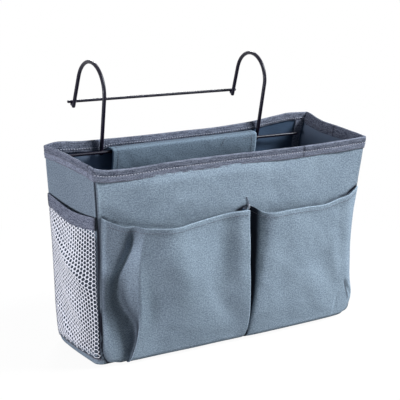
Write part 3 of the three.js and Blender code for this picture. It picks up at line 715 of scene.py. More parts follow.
def painted_wire(name, colour, worn):
    """Dipped paint on steel wire: slight orange peel, patchy gloss and a few rubbed spots."""
    material, tree, shader = new_material(name, {
        "Roughness": 0.38, "Specular IOR Level": 0.25, "Specular Tint": (0.8, 0.92, 1.0, 1.0),
        "Coat Weight": 0.03, "Coat Roughness": 0.2,
    })
    place = node(tree, "ShaderNodeTexCoord").outputs["Object"]
    peel = noise_at(tree, place, PAINT_PEEL, 2.0)
    patch = noise_at(tree, place, PAINT_PATCH, 4.0, 0.7)
    rub = node(tree, "ShaderNodeMapRange", {0: patch, **PAINT_RUB}).outputs[0]
    tree.links.new(maths(tree, "MULTIPLY_ADD", patch, 0.25, 0.25), shader.inputs["Roughness"])
    surface_of(tree, shader, blend_colour(tree, rub, colour, worn), peel, PAINT_BUMP, 0.35)
    return material


OXFORD = woven("oxford_cloth", linear(161, 181, 198), linear(112, 129, 147))
# The lining turns lighter and greyer by the inside mark, a painted light, and its painted shade is held to a share
# of 0.2
LINING = woven("coated_lining", linear(67, 87, 111), linear(53, 70, 92), roughness=0.6, depth=0.05, grain=0.5,
               deep=0.2, worn="inside", pale=(4.6, 3.5, 2.9))
SLEEVE = woven("sleeve_cloth", linear(125, 145, 163), linear(89, 106, 123))
BINDING = woven("binding_tape", linear(131, 139, 157), linear(67, 74, 91), 0.9, 0.9, 0.16, rib=1.8, streak=2.4)
NET_YARN = yarn("net_yarn", linear(241, 247, 255), linear(222, 229, 247), sheen=1.0)
PALE_THREAD = yarn("pale_thread", linear(194, 200, 216), linear(150, 156, 173))
DARK_THREAD = yarn("dark_thread", linear(104, 108, 122), linear(74, 78, 92))
WIRE = painted_wire("wire_paint", linear(21, 15, 31), linear(46, 40, 56))


def dress(piece, body, slot, *materials):
    for material in materials:
        piece.data.materials.append(material)
    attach(piece, body)
    return piece


def sew(name, rows, stitch, slot, thread=DARK_THREAD):
    return dress(stitch_rows(name, rows, *stitch), "bag", slot, thread)


# Pieces of the bag
# Painted shade on the front wall, along lines: (x, z, x, z, width, strength)
WALL_SHADES = [
    # Behind the right pocket's hem, from its right end, and where the pockets meet
    (153.4, 145.0, 140, 136.6, 1.5, 1.5),
    (142, 137, 128, 134.0, 1.5, 1.0),
    (128, 134.3, 111.4, 130.6, 1.7, 0.6),
    (111.4, 130.6, 63.7, 131, 1.6, 0.36),
    (63.7, 131, 35, 132.4, 1.6, 0.4),
    (-2, 137.5, 12.4, 142.2, 2.4, 1.3),
    # Behind the left pocket's hem, from its left end
    (-150.6, 152.6, -143, 147.8, 2.0, 1.0),
    (-143, 147.8, -131, 143.2, 2.0, 0.8),
    (-131, 143.2, -113, 139.4, 1.8, 0.5),
    (-113, 139.4, -66.6, 131, 1.7, 0.36),
    (-66.6, 131, -47.4, 133.3, 1.7, 0.36),
    (-47.4, 133.3, -6, 137.2, 1.7, 0.4),
    # Painted shade where the cloth dips softly above the left pocket
    (-149, 158, -126, 147, 8.0, 0.42),
    (-125, 178, -100, 162, 30, 0.12),
    (-112, 170, -80, 158, 7, 0.10),
    (-80, 158, -62, 146, 6, 0.15),
    # Along the left pocket's side seam
    (-153, 150, -152, 60, 2.6, 1.3),
    (-151, 60, -149, 30, 2.4, 1.3),
    (-149, 30, -148, 15, 2.4, 1.3),
    (-148, 15, -141, 2, 2.4, 1.3),
]
# Painted shade over the ends, on the cloth behind the nets, and in a narrow line along the upright corner seams;
# then rubbed wear on the seam ridges and along the foot
END_SHADE, SEAM_WIDTH, SEAM_RISE, NET_SHADE_RUN = 0.45, 1.7, (2, 10), (0.3, 0.8)
NET_SHADE_BAND = (NET_FOOT, NET_FOOT + 6, NET_TOP - 24, NET_TOP - 14)
RIDGE_WEAR, FOOT_WEAR = (0.35, 2.6, 1.1), (0.3, 4, 3)
# Painted light on the lining, lighter where light from above would fall inside: (strength, places in turns of s)
INSIDE_LIGHT = [(1.5, (1.0, 1.08, 1.92, 2.0)), (0.4, (2.7, 2.8, 2.97, 3.0)), (0.7, (2.785, 2.81, 2.84, 2.88))]


def wall_marks(s, z, wall):
    """Painted shade along the corner seams, over the ends, behind the nets and on the front, rubbed edges, and
    painted light on the lining, at each point of the walls.
    """
    way = from_corner(s)
    on_front, on_end = np.floor(s) == 0, np.floor(s) % 2 == 1
    forward = np.where(s < 2, 2 - s, s - 3)
    behind_net = NET_BACK_SHADE + (NET_SHADE - NET_BACK_SHADE) * ease(*NET_SHADE_RUN, forward)
    behind_net = behind_net * band(*NET_SHADE_BAND, z)
    painted_shade = np.maximum(hump(way, SEAM_WIDTH) * ease(*SEAM_RISE, z), np.maximum(behind_net, END_SHADE) * on_end)
    for *line, strength in WALL_SHADES:
        painted_shade = np.maximum(painted_shade, strength * crease(wall[..., 0], wall[..., 2], *line) * on_front)
    wear_and_light = bell(way, *RIDGE_WEAR) + bell(z, *FOOT_WEAR)
    inside = sum(strength * band(*places, s) for strength, places in INSIDE_LIGHT)
    return {"painted_shade": painted_shade, "wear_and_light": wear_and_light, "inside": inside}


def bag_shell():
    """Walls and base as one lofted shell."""
    s, z = np.meshgrid(outline_places(WALL_STEP), wall_height(steps([0, WALL_TURN, 1], WALL_ROWS)))
    x, y = outline(s, z, wall_out(s, z))
    wall = settle(x, y, z)
    rows, columns = z.shape
    # The base runs in from the foot of the walls to the line along its middle
    foot, reach = wall[0], BASE_LENGTH / 2 - BASE_INSET
    middle = np.stack([np.clip(foot[:, 0], -reach, reach), np.zeros(columns), foot[:, 2]], -1)
    base = middle + (foot - middle) * np.linspace(0, 1, BASE_ROWS, endpoint=False)[:, None, None]
    base[..., 2] = 0.0
    points = np.concatenate([base, wall])
    plain = np.zeros((BASE_ROWS, columns))
    marks = {key: np.concatenate([plain, values]) for key, values in wall_marks(s, z, wall).items()}
    flat = np.stack(np.meshgrid(lengths(wall[rows // 2]), lengths(points[:, columns // 8])), -1).reshape(-1, 2)
    piece = mesh_piece("bag_shell", points.reshape(-1, 3), grid_faces(len(points), columns, True), flat, marks)
    piece.modifiers.new("join", "WELD").merge_threshold = WELD_REACH * MM
    thicken(piece, CLOTH, 1)
    dress(piece, "bag", "cloth", OXFORD, LINING)
    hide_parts("front_panel", "back_panel", "left_gusset", "right_gusset", "base_panel")


# Rim binding, with the places round the rim in turns of s
TAPE_LEG, TAPE_STEP, TAPE_ROWS, TAPE_TURN = 0.38, 2.0, (16, 10, 13), 215
TAPE_DEEPER = [(4.0, (1.0, 1.08, 1.92, 2.0)), (3.0, (2.74, 2.8, 2.97, 3.0))]
TAPE_PUFF, TAPE_DENT, PUCKER_LEAST = 0.3, (0.4, 0.55, 0.07), -0.25
OVERLAP, OVERLAP_FROM, OVERLAP_TO = 0.9, (3.905, 3.912), (0.0, 0.1)
# Ends of the tape: (place, length of that side), and how dark and wide the painted shade along them shows
TAPE_JOINTS, JOINT_SHADE, JOINT_WIDTH = [(3.908, DEPTH), (0.742, LENGTH), (1.45, DEPTH)], 0.9, 0.5
# Marks across the tape, with 0 at its outer edge and 1 at its inner one: its outer face painted lighter low down
# and darker high up and onto the fold, as painted light and shade, with rubbed wear at the fold and the outer edge
LOWER_BAND_LIGHT, LOW_BAND, HIGH_SHADE, HIGH_BAND = 0.26, (0.0, 0.02, 0.19, 0.23), 0.22, (0.19, 0.23, 0.36, 0.42)
FOLD_WEAR, EDGE_WEAR = (0.3, 0.42, 0.05), (0.3, 0, 0.02)
EDGE_ROW, OUTER_ROW, INNER_ROW, TAPE_STITCH_STEP = 0.022, 0.209, 0.865, 1.5


def tape_point(s, v):
    """Rim binding: v runs from its outer edge over the fold to its inner edge."""
    s, v = spread(s, v)
    outside, inside = v < TAPE_LEG, v > 1 - TAPE_LEG
    outer = within(v / TAPE_LEG)
    inner = within((v - 1 + TAPE_LEG) / TAPE_LEG)
    turn = within((v - TAPE_LEG) / (1 - 2 * TAPE_LEG)) * math.pi
    bend = CLOTH / 2 + TAPE_STAND
    deep = TAPE_INSIDE + sum(more * band(*places, s) for more, places in TAPE_DEEPER)
    up = HEIGHT - TAPE_OUTSIDE + (RIM_Z - HEIGHT + TAPE_OUTSIDE) * outer
    down = RIM_Z - (RIM_Z - HEIGHT + deep) * inner
    z = np.where(outside, up, np.where(inside, down, RIM_Z + bend * np.sin(turn)))
    out = np.where(outside, TAPE_STAND, np.where(inside, -CLOTH - TAPE_STAND, -CLOTH / 2 + bend * np.cos(turn)))
    run = s * TAPE_TURN
    puff = TAPE_PUFF * (arch(outer) * outside - arch(inner) * inside)
    pucker = np.maximum(0.28 * ripple(run, z, 4.0, 3) + 0.4 * ripple(run, z, 17.0, 4), PUCKER_LEAST)
    dent = bell(outer, *TAPE_DENT) * outside
    overlap = OVERLAP * (ease(*OVERLAP_FROM, s) + (s < 0.5) * (1 - ease(*OVERLAP_TO, s))) * outside
    x, y = outline(s, z, out + overlap + puff + pucker * np.where(v < 0.5, 1, -1) - dent)
    wave = 0.55 * ripple(run, 7.0, 15.0, 5) + 0.3 * ripple(run, 3.0, 6.0, 2)
    lift = 0.3 * ripple(run, v * 10, 30.0, 5) * arch(within(v)) ** 0.5
    return settle(x, y, z + lift + wave * (1 - outer) * outside)


def rim_binding():
    s, v = np.meshgrid(outline_places(TAPE_STEP), steps([0, TAPE_LEG, 1 - TAPE_LEG, 1], TAPE_ROWS))
    wear_and_light = bell(v, *FOLD_WEAR) + bell(v, *EDGE_WEAR) + LOWER_BAND_LIGHT * band(*LOW_BAND, v)
    joints = sum(hump((s - at) * length, JOINT_WIDTH) for at, length in TAPE_JOINTS)
    marks = {"wear_and_light": wear_and_light, "painted_shade": joints * JOINT_SHADE + HIGH_SHADE * band(*HIGH_BAND, v)}
    piece = cloth_piece("rim_binding", tape_point(s, v), RIM_TAPE, marks, True)
    dress(piece, "bag", "tape", BINDING)
    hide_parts("front_rim_tape", "back_rim_tape", "left_rim_tape", "right_rim_tape")
    pale, dark = [], []
    around = np.append(outline_places(TAPE_STITCH_STEP), 4.0)
    for at in (EDGE_ROW, OUTER_ROW, INNER_ROW):
        for side in range(4):
            run = around[(around >= side) & (around <= side + 1)]
            spots = tape_point(run % 4, at)
            ahead = tape_point((run + NUDGE) % 4, at) - spots
            above = tape_point(run % 4, at + NUDGE) - spots
            on_face = at != EDGE_ROW and side % 2 == 0
            (pale if on_face else dark).append((spots, unit(np.cross(ahead, above))))
    pale = sew("rim_stitching", pale, RIM_STITCH, "tape", PALE_THREAD)
    edge = sew("rim_edge_stitching", dark, EDGE_STITCH, "tape")


CORNER_TAPE_FOOT, CORNER_TAPE_WIDTH, CORNER_TAPE_INSET, CORNER_TAPE_GRID = 16, 9, 1.5, (10, 80)
CORNER_TAPE_PUFF, CORNER_TAPE_WEAR = 0.25, (0.4, 0, 0.1)


def corner_tape(end, toward_x, front):
    """Tape over an upright seam inside a corner."""
    face, toward_y = (front_face, -1) if front else (back_face, 1)
    u, v = even_grid(*CORNER_TAPE_GRID)
    z = CORNER_TAPE_FOOT + (HEIGHT - TAPE_INSIDE - GAP - CORNER_TAPE_FOOT) * v
    across = u if (toward_x < 0) != front else 1 - u
    x = toward_x * (end_face(z) - CLOTH - CORNER_TAPE_INSET - CORNER_TAPE_WIDTH * across)
    out = GAP + CORNER_TAPE_PUFF * arch(u) + 0.2 * ripple(v * 180, u * CORNER_TAPE_WIDTH, 9, 2 + front)
    y = toward_y * (face(z) - CLOTH - TAPE - out)
    where = "front" if front else "back"
    marks = {"wear_and_light": bell(np.minimum(u, 1 - u), *CORNER_TAPE_WEAR)}
    piece = cloth_piece(f"corner_tape_{where}_{end}", settle(x, y, z), CORNER_TAPE, marks)
    dress(piece, "bag", "tape", BINDING)
    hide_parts(f"{where}_{end}_seam_tape")


# Front pockets
def line_at(line, z):
    """(x, stand-off) of an upright pocket line at given heights."""
    return [spline([(knot[0], knot[c]) for knot in line], z) for c in (1, 2)]


def stations_of(lines):
    """Each line's share of the way along the pocket's strip, and the strip's length."""
    way = lengths(np.array([line_at(line, np.array(STATION_HEIGHT)) for line in lines]))
    return way / way[-1], way[-1]


def pick(table, at):
    return np.take_along_axis(table, at[None], 0)[0]


def across_lines(stations, values, u, sharp):
    """Smooth curve across the lines at u, with a corner at each sharp line."""
    values = np.stack(values)
    step = np.diff(stations).reshape((-1,) + (1,) * u.ndim)
    slope = np.diff(values, axis=0) / step
    mean = (step[1:] * slope[:-1] + step[:-1] * slope[1:]) / (step[1:] + step[:-1])
    arrive = np.concatenate([slope[:1], mean, slope[-1:]])
    leave = arrive.copy()
    for k in sharp:
        arrive[k], leave[k] = slope[k - 1], slope[k]
    k = np.clip(np.searchsorted(stations, u, side="right") - 1, 0, len(stations) - 2)
    h = np.diff(stations)[k]
    t = (u - stations[k]) / h
    return hermite(t, h, pick(values, k), pick(values, k + 1), pick(leave, k), pick(arrive, k + 1))


def across_fold_shades(stations, fold_shades, u, z, sharp):
    """Share of painted shade at u and z, straight from line to line but held back up to a sharp one."""
    numbers = np.array(sorted(fold_shades))
    places = np.interp(numbers, np.arange(len(stations)), stations)
    values = np.stack([np.interp(z, *zip(*fold_shades[number])) for number in sorted(fold_shades)])
    k = np.clip(np.searchsorted(places, u, side="right") - 1, 0, len(places) - 2)
    t = (u - places[k]) / np.diff(places)[k]
    t = np.where(np.isin(numbers[k + 1], sharp), t ** 3, t)
    return pick(values, k) * (1 - t) + pick(values, k + 1) * t


def corner_fall(x, z):
    """How far the front wall has turned in at x, by the rounding of the upright corner."""
    radius = corner_radius(z, 1 - STUFFED_CORNER)
    past = np.clip(np.abs(x) - end_face(z, NO_TUCK) + radius, 0, radius * 0.96)
    return radius - np.sqrt(radius ** 2 - past ** 2)


def pocket_point(pocket, u, v):
    """Pocket's outer face: u from the left seam to the right one, v from the seam at the foot to the mouth."""
    lines, sharp, tops, folds = pocket
    u, v = spread(u, v)
    stations, _ = stations_of(lines)
    rise = within((v - POCKET_TURN) / (1 - POCKET_TURN))
    angle = within(v / POCKET_TURN) * math.pi / 2
    top = spline(list(zip(stations, tops)), u)
    low = POCKET_FOOT + POCKET_TURN_UP
    z = np.where(v < POCKET_TURN, POCKET_FOOT + POCKET_TURN_UP * (1 - np.cos(angle)), low + (top - low) * rise)
    z = z + CORNER_LIFT * (1 - ease(0, LEFT_LIFT, u) * ease(0, RIGHT_LIFT, 1 - u)) * (1 - v) ** LIFT_POWER
    spots = [line_at(line, z) for line in lines]
    x, off = (across_lines(stations, [spot[c] for spot in spots], u, sharp) for c in (0, 1))
    for *line, height in folds:
        off = off + crease(x, z, *line) * height
    sewn = ease(0, SEWN_SHARE, u) * ease(0, SEWN_SHARE, 1 - u)
    crumple = 0.5 * ripple(x + 0.4 * z, z, 26, 1) + 0.14 * ripple(x, z, 7, 2)
    off = off + sewn * crumple * ease(0, POCKET_CALM, v)
    below = top - z
    hem = HEM_LIFT * (1 - ease(*HEM_EDGE, below)) - bell(below, *HEM_DENT)
    off = np.maximum(off + hem * (v > 0.5), LEAST_OFF)
    wall = front_face(z, NO_TUCK) - corner_fall(x, z)
    y = -(wall + GAP + off * np.sin(angle) - (1 - np.sin(angle)) * FOOT_SINK) - CLOTH * 0.2
    return settle(x, y, z)


# Lighter places of a pocket, partly rubbed wear and partly a painted highlight along the hem's edge and the sharp
# fold: (strength, place, width), and the height where the sharp fold's own one fades
HEM_WEAR, TURN_WEAR, FOLD_RUB, FOLD_RUB_FADE = (0.24, 0, 0.8), (0.15, 0.05, 0.02), (0.2, 0, 0.6), (40, 55)


def front_pocket(side, pocket, fold_shades, crease_shades=()):
    lines, sharp, tops, _ = pocket
    stations, length = stations_of(lines)
    columns = steps(stations, [max(4, int(share * length / COLUMN_STEP)) for share in np.diff(stations)])
    u, v = np.meshgrid(columns, steps([0, POCKET_TURN, 1], POCKET_ROWS))
    points = pocket_point(pocket, u, v)
    x, z = points[..., 0], points[..., 2]
    mouth = list(zip(stations, tops))
    wear_and_light = bell((1 - v) * spline(mouth, u), *HEM_WEAR) + bell(v, *TURN_WEAR)
    if sharp:
        wear_and_light = wear_and_light + bell((u - stations[sharp[0]]) * length, *FOLD_RUB) * (1 - ease(*FOLD_RUB_FADE, z))
    # Painted shade in the folds, in the slot between the pockets and along narrow creases
    painted_shade = across_fold_shades(stations, fold_shades, u, z, sharp)
    for *line, strength in crease_shades:
        painted_shade = np.maximum(painted_shade, strength * crease(x, z, *line))
    marks = {"wear_and_light": wear_and_light, "painted_shade": painted_shade}
    piece = cloth_piece(f"{side}_front_pocket", points, POCKET_CLOTH, marks, inner_slot=1)
    dress(piece, "bag", "cloth", OXFORD, LINING)
    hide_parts(f"{side}_pocket")
    run = np.linspace(0.02, 0.985, 240)
    share = 1 - HEM_STITCH / (spline(mouth, run) - POCKET_TURN_UP) * (1 - POCKET_TURN)
    row = normals_of(lambda a, b: pocket_point(pocket, a, b), run, share)
    return piece, sew(f"{side}_pocket_stitching", [row], HEM_STITCHES, "cloth")


BARTACK_X, BARTACK_Z, BARTACK_OUT, BARTACK_HALF, BARTACK_TURNS = 13.4, 139.0, 4.6, 0.9, 9
THREAD_X, THREAD_Z, THREAD_OUT, THREAD_RISE = 13.0, 142.5, 3.4, 8.5


def seam_end():
    """Bar of stitches where the pockets meet at the mouth, with its thread left long."""
    spot = lambda x, z, out: (x, -float(front_face(np.array(z))) - out, z)
    bar = [spot(BARTACK_X + BARTACK_HALF * (1 if k % 2 else -1), BARTACK_Z + 0.5 * k, BARTACK_OUT - 0.2 * k)
           for k in range(BARTACK_TURNS)]
    tail = [spot(THREAD_X - 2.0 * t ** 0.7 + 0.5 * math.sin(5 * t), THREAD_Z + THREAD_RISE * t, THREAD_OUT)
            for t in np.linspace(0, 1, 24)]
    pieces = []
    for name, path, radius, thread in (("pocket_bartack", bar, 0.5, PALE_THREAD),
                                       ("pocket_thread_end", tail, 0.36, DARK_THREAD)):
        piece = mesh_piece(name, *tube(path, radius, (0, 1, 0), 8))
        pieces.append(dress(piece, "bag", "cloth", thread))
    return pieces


def pockets():
    left, left_thread = front_pocket("left", (LEFT_LINES, LEFT_SHARP, LEFT_TOP, LEFT_FOLDS), LEFT_FOLD_SHADES)
    right_pocket = (RIGHT_LINES, RIGHT_SHARP, RIGHT_TOP, RIGHT_FOLDS)
    right, right_thread = front_pocket("right", right_pocket, RIGHT_FOLD_SHADES, RIGHT_CREASE_SHADES)
    [left_thread] + seam_end()


# Net pockets
def net_point(toward, u, z, out):
    """Place on a net pocket: u runs from back to front on the left end and from front to back on the right."""
    u, z = spread(u, z)
    forward = u if toward < 0 else 1 - u
    inset = NET_BACK_INSET + NET_LOW_INSET * (1 - ease(*NET_INSET_RISE, z))
    if toward < 0:
        s = 3 + inset + (1 - inset + spline(NET_LAP, z)) * forward
    else:
        s = 2 - inset - (1 - inset - NET_RIGHT_GAP) * forward
    # Past the front left corner the same length of net is a smaller share of the longer side
    past = np.maximum(s - 4, 0) * DEPTH
    arc = corner_radius(z, 1 - STUFFED_CORNER) * math.pi / 4
    s = np.minimum(s, 4) + np.where(past < arc, past / arc * CORNER_SHARE, CORNER_SHARE + (past - arc) / LENGTH)
    full = np.sin(within((z - NET_FOOT) / (NET_TOP - NET_FOOT)) * math.pi * 0.9)
    bulge = NET_BULGE * full * arch(forward ** NET_BULGE_POWER)
    reach = BASE_DEPTH * forward
    (a, b), drawn = NET_FOLD_WAY, NET_FOLD_DRAWN
    fold = ripple(a * reach + b * z, drawn * (b * reach - a * z), 15, 1)
    y = (back_face(z) - NET_MARGIN) * (1 - forward) + (NET_MARGIN - front_face(z)) * forward
    slack = arch(forward) * (NET_FOLD * fold + NET_CRUMPLE * ripple(y, z, 13, 2))
    slack = slack + NET_CREASE * crease(reach, z, *NET_CREASE_LINE)
    slack = slack * band(NET_FOOT, NET_FOOT + 14, NET_TOP - 26, NET_TOP - 12, z)
    stand = np.maximum(bulge + slack, 0) + NET_STAND
    x, y = outline(s, z, GAP + stand + out + tuck(z, END_TUCK))
    sag = NET_SAG * arch(forward ** NET_SAG_POWER) * ease(NET_SAG_FROM, NET_TOP - 6, z)
    return settle(x, y, z - sag)


def net_pattern(width, height, slant):
    """Flat net: upright columns of six-sided gaps, each column half a gap above the next, in slanting rows."""
    columns = int((width - NET_STRAND) / NET_STEP)
    margin = (width - columns * NET_STEP) / 2
    drift = abs(slant) * width / 2
    rows = int((height + 2 * drift) / NET_PITCH) + 1
    points, index, faces = [], {}, []

    def point(x, y):
        key = (round(x, 3), round(y, 3))
        if key not in index:
            index[key] = len(points)
            points.append((min(max(x, 0.0), width), min(max(y, 0.0), height)))
        return index[key]

    for i in range(columns):
        for j in range(rows):
            x = margin + (i + 0.5) * NET_STEP
            y = (j + 0.5 * (i % 2)) * NET_PITCH + slant * (x - width / 2) - drift
            if not NET_PITCH * 0.5 <= y <= height - NET_PITCH * 0.5:
                continue
            back = 1 - x / width if slant > 0 else x / width
            hole = 1 - (NET_STRAND + (NET_BACK_STRAND - NET_STRAND) * ease(0.05, 0.5, back)) / NET_PITCH
            spot = lambda a, b: (x + a * NET_STEP, y + b * NET_PITCH + slant * a * NET_STEP)
            outer = [point(*spot(a, b)) for a, b in NET_GAP_CORNERS]
            first = len(points)
            points += [spot(a * hole, b * hole) for a, b in NET_GAP_CORNERS]
            faces += [(outer[k], outer[(k + 1) % 6], first + (k + 1) % 6, first + k) for k in range(6)]
    return np.array(points), faces


def net_pocket(end, toward):
    top = NET_TOP - NET_TAPE_HEIGHT + NET_UNDER_TAPE
    width = float(front_face(NET_MIDDLE) + back_face(NET_MIDDLE)) - 2 * NET_MARGIN
    flat, faces = net_pattern(width, top - NET_FOOT, -NET_SLANT * toward)
    points = net_point(toward, flat[:, 0] / width, NET_FOOT + flat[:, 1], 0.0)
    net = mesh_piece(f"{end}_net_mesh", points, faces, flat)
    thicken(net, NET, offset=0)
    dress(net, "bag", "net", NET_YARN)
    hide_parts(f"{end}_net")
    binding, thread = net_binding(end, toward)
    hem = net_edges(end, toward, top)


def net_binding(end, toward):
    """Tape folded over the net's top edge."""
    leg, bend = NET_TAPE_LEG, NET_TAPE_BEND

    def surface(u, v):
        u, v = spread(u, v)
        outside = v < 0.5
        turn = within((v - leg) / (1 - 2 * leg)) * math.pi
        rise = within(np.where(outside, v, 1 - v) / leg)
        z = NET_TOP - bend - (NET_TAPE_HEIGHT - bend) * (1 - rise) + bend * np.sin(turn)
        out = NET_TAPE_STAND * np.cos(turn) + 0.25 * arch(rise) * np.where(outside, 1, -0.4)
        return net_point(toward, u, z, out + 0.12 * ripple(u * 100, z, 6, 3) * outside)

    u, v = np.meshgrid(np.linspace(0, 1, 64), steps([0, leg, 1 - leg, 1], NET_TAPE_ROWS))
    marks = {"wear_and_light": bell(v, *NET_TAPE_WEAR), "painted_shade": NET_TAPE_SHADE + bell(np.minimum(u, 1 - u), *NET_TAPE_ENDS)}
    piece = cloth_piece(f"{end}_net_binding", surface(u, v), NET_TAPE_THICKNESS, marks)
    dress(piece, "bag", "tape", BINDING)
    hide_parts(f"{end}_net_tape")
    run = np.linspace(0.01, 0.99, 80)
    row = normals_of(surface, run, np.full_like(run, 0.07))
    return piece, sew(f"{end}_net_stitching", [row], NET_STITCH, "tape")


def net_edges(end, toward, top):
    """Sewn edge cord along the foot and the back of the net, where it goes into the seams."""
    z = np.linspace(NET_FOOT - 0.5, top, 60)
    run = np.linspace(0, 1, 50)
    back = NET_CORD_AT if toward < 0 else 1 - NET_CORD_AT
    points, faces = [], []
    for across, up in ((run, np.full_like(run, NET_FOOT - 0.2)), (np.full_like(z, back), z)):
        path = net_point(toward, across, up, 0.0)
        tangent = unit(np.gradient(path, axis=0))
        side = unit(np.cross(tangent, [1.0, 0, 0]))
        faces += ring_faces(len(path), NET_CORD_SIDES, len(points), flip=True)
        points += list(rings_along(path, side, np.cross(tangent, side), NET_CORD, NET_CORD_SIDES))
    piece = mesh_piece(f"{end}_net_selvedge", np.array(points), faces)
    return dress(piece, "bag", "net", DARK_THREAD)


# Sleeve and hanger
def bezier(points, t):
    a, b, c, d = (np.array(p, float) for p in points)
    t = t[..., None]
    return a * (1 - t) ** 3 + 3 * b * t * (1 - t) ** 2 + 3 * c * t * t * (1 - t) + d * t ** 3


def sleeve_point(u, v):
    """Cloth sleeve: v runs from its lower edge on the back wall, up over the front of the bar, to the rim tape."""
    u, v = spread(u, v)
    wall = lambda z: float(back_face(np.array(z))) - CLOTH - GAP
    top = HEIGHT - TAPE_INSIDE + SLEEVE_TOP
    front = BAR_Y - BAR_WIRE / 2 - GAP - CLOTH - SLEEVE_ROOM
    shoulder = top - SLEEVE_SHOULDER
    over = [(wall(top) - CLOTH, top), (front + 1, top + CLOTH / 2), (front, top), (front, shoulder)]
    foot, drop = wall(SLEEVE_FOOT) - CLOTH, SLEEVE_FOOT - shoulder
    under = [(front, shoulder), (front, shoulder + drop * 0.5), (foot, shoulder + drop * 0.65), (foot, SLEEVE_FOOT)]
    w = 1 - v
    upper = bezier(over, within(w / SLEEVE_TURN))
    lower = bezier(under, within((w - SLEEVE_TURN) / (1 - SLEEVE_TURN)))
    y, z = np.moveaxis(np.where((w < SLEEVE_TURN)[..., None], upper, lower), -1, 0)
    x = SLEEVE_MIDDLE + (u - 0.5) * SLEEVE_LENGTH
    slack = np.maximum(0, 0.9 * ripple(x, z, 32, 0) + 0.3 * ripple(x, z + 0.5 * x, 12, 1))
    y = y - slack * arch(within(v))
    points = np.stack([x, y, z], -1)
    rise = settle(x, y, z) - points
    calm = ease(*SLEEVE_CALM, v)[..., None]
    return points + rise * (SLEEVE_HOLD + (1 - SLEEVE_HOLD) * (1 - calm))


def bar_sleeve():
    u, v = even_grid(*SLEEVE_GRID)
    marks = {"wear_and_light": bell(np.minimum(u, 1 - u) * SLEEVE_LENGTH, *SLEEVE_WEAR)}
    piece = cloth_piece("bar_sleeve", sleeve_point(u, v), SLEEVE_CLOTH, marks)
    dress(piece, "bag", "sleeve", SLEEVE)
    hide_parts("hanger_sleeve")
    rows = [normals_of(sleeve_point, np.linspace(u0, u1, 60), np.linspace(v0, v1, 60))
            for u0, v0, u1, v1 in SLEEVE_ROWS]
    thread = sew("sleeve_stitching", rows, SLEEVE_STITCH, "sleeve")


def bar_rise(x):
    """How far the lower bar has tilted up in the sleeve, toward its left end."""
    return BAR_TILT * (0.5 - x / LOWER_BAR_LENGTH)


def hook_path(x, radius, rise, tip_lean, tip_length, aside):
    """Centre line of a hook at x, and the place of the upper bar's axis there."""
    foot = bar_rise(x)
    centre_z = BAR_DROP + rise - radius
    top_z = centre_z - radius * math.sin(LEG_LEAN)
    centre_y = BAR_TO_LEG - top_z * LEG_SLOPE + radius * math.cos(LEG_LEAN)
    leg = [(BAR_TO_LEG - z * LEG_SLOPE, z) for z in np.linspace(foot - FOOT_OVERHANG, top_z, 30)[:-1]]
    arc = [(centre_y + radius * math.cos(w), centre_z + radius * math.sin(w))
           for w in np.linspace(math.pi + LEG_LEAN, tip_lean, 60)]
    down = np.array([math.sin(tip_lean), -math.cos(tip_lean)])
    tip = [tuple(np.array(arc[-1]) + d * down) for d in np.linspace(0, tip_length, 16)[1:]]
    line = np.array(leg + arc + tip)
    weld = line[-1] - WIRE_OVERHANG * down + BAR_TO_LEG * np.array([math.cos(tip_lean), math.sin(tip_lean)])
    step = lambda yz: aside * within(1 - yz[:, 1] / centre_z) * (yz[:, 0] < centre_y)
    place = lambda yz: np.stack([x + step(yz), BAR_Y + yz[:, 0], BAR_Z + yz[:, 1]], -1)
    return place(line), place(weld[None])[0]


def hanger():
    welds, beads = [], []
    for end, toward in ENDS:
        x = toward * HOOK_SPACING / 2
        path, weld = hook_path(x, *HOOKS[end])
        piece = mesh_piece(f"{end}_hook", *tube(path, HOOK_WIRE / 2, (1, 0, 0)))
        dress(piece, "hanger", "wire", WIRE)
        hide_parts(f"hanger_hook_{end}")
        welds.append(weld)
        beads += [(path[0][0], BAR_Y + BAR_TO_LEG / 2, BAR_Z + bar_rise(x)), (path[-1] + weld) / 2]
    half = LOWER_BAR_LENGTH / 2 - BAR_TIP
    lower = [np.array([x, BAR_Y, BAR_Z + bar_rise(x)]) for x in (-half, half)]
    over = (welds[1] - welds[0]) * (WIRE_OVERHANG + BAR_TIP) / HOOK_SPACING
    upper = [welds[0] - over, welds[1] + over]
    for name, (start, stop) in (("lower", lower), ("upper", upper)):
        path = start + (stop - start) * np.linspace(0, 1, 90)[:, None]
        piece = mesh_piece(f"{name}_bar", *tube(path, BAR_WIRE / 2, (0, 0, 1)))
        dress(piece, "hanger", "wire", WIRE)
        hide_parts(f"hanger_{name}_bar")
    weld_beads(beads)


def weld_beads(spots):
    """Small lumpy beads where the hooks are welded to the bars."""
    ring = np.arange(BEAD_RINGS)[:, None]
    tilt = (ring + 0.5) / BEAD_RINGS * math.pi
    w = np.arange(BEAD_SIDES)[None] / BEAD_SIDES * 2 * math.pi
    ball = np.stack(spread(np.sin(tilt) * np.cos(w), np.cos(tilt), np.sin(tilt) * np.sin(w)), -1)
    points, faces = [], []
    for n, spot in enumerate(spots):
        lump = 1 + BEAD_LUMP * ripple(9.0 * np.cos(w) + 31 * n, 9.0 * np.sin(w) + 7 * ring, 6, 5)
        faces += ring_faces(BEAD_RINGS, BEAD_SIDES, len(points))
        points += list((spot + BEAD_HALF * lump[..., None] * ball).reshape(-1, 3))
    piece = mesh_piece("weld_beads", np.array(points), faces)
    dress(piece, "hanger", "wire", WIRE)


# Floor, light and camera
WHITE = (1, 1, 1, 1)
FLOOR_HALF, FLOOR_DROP, FLOOR_GREY, FLOOR_PAPER = 4.0, 0.2, 0.22, 0.92
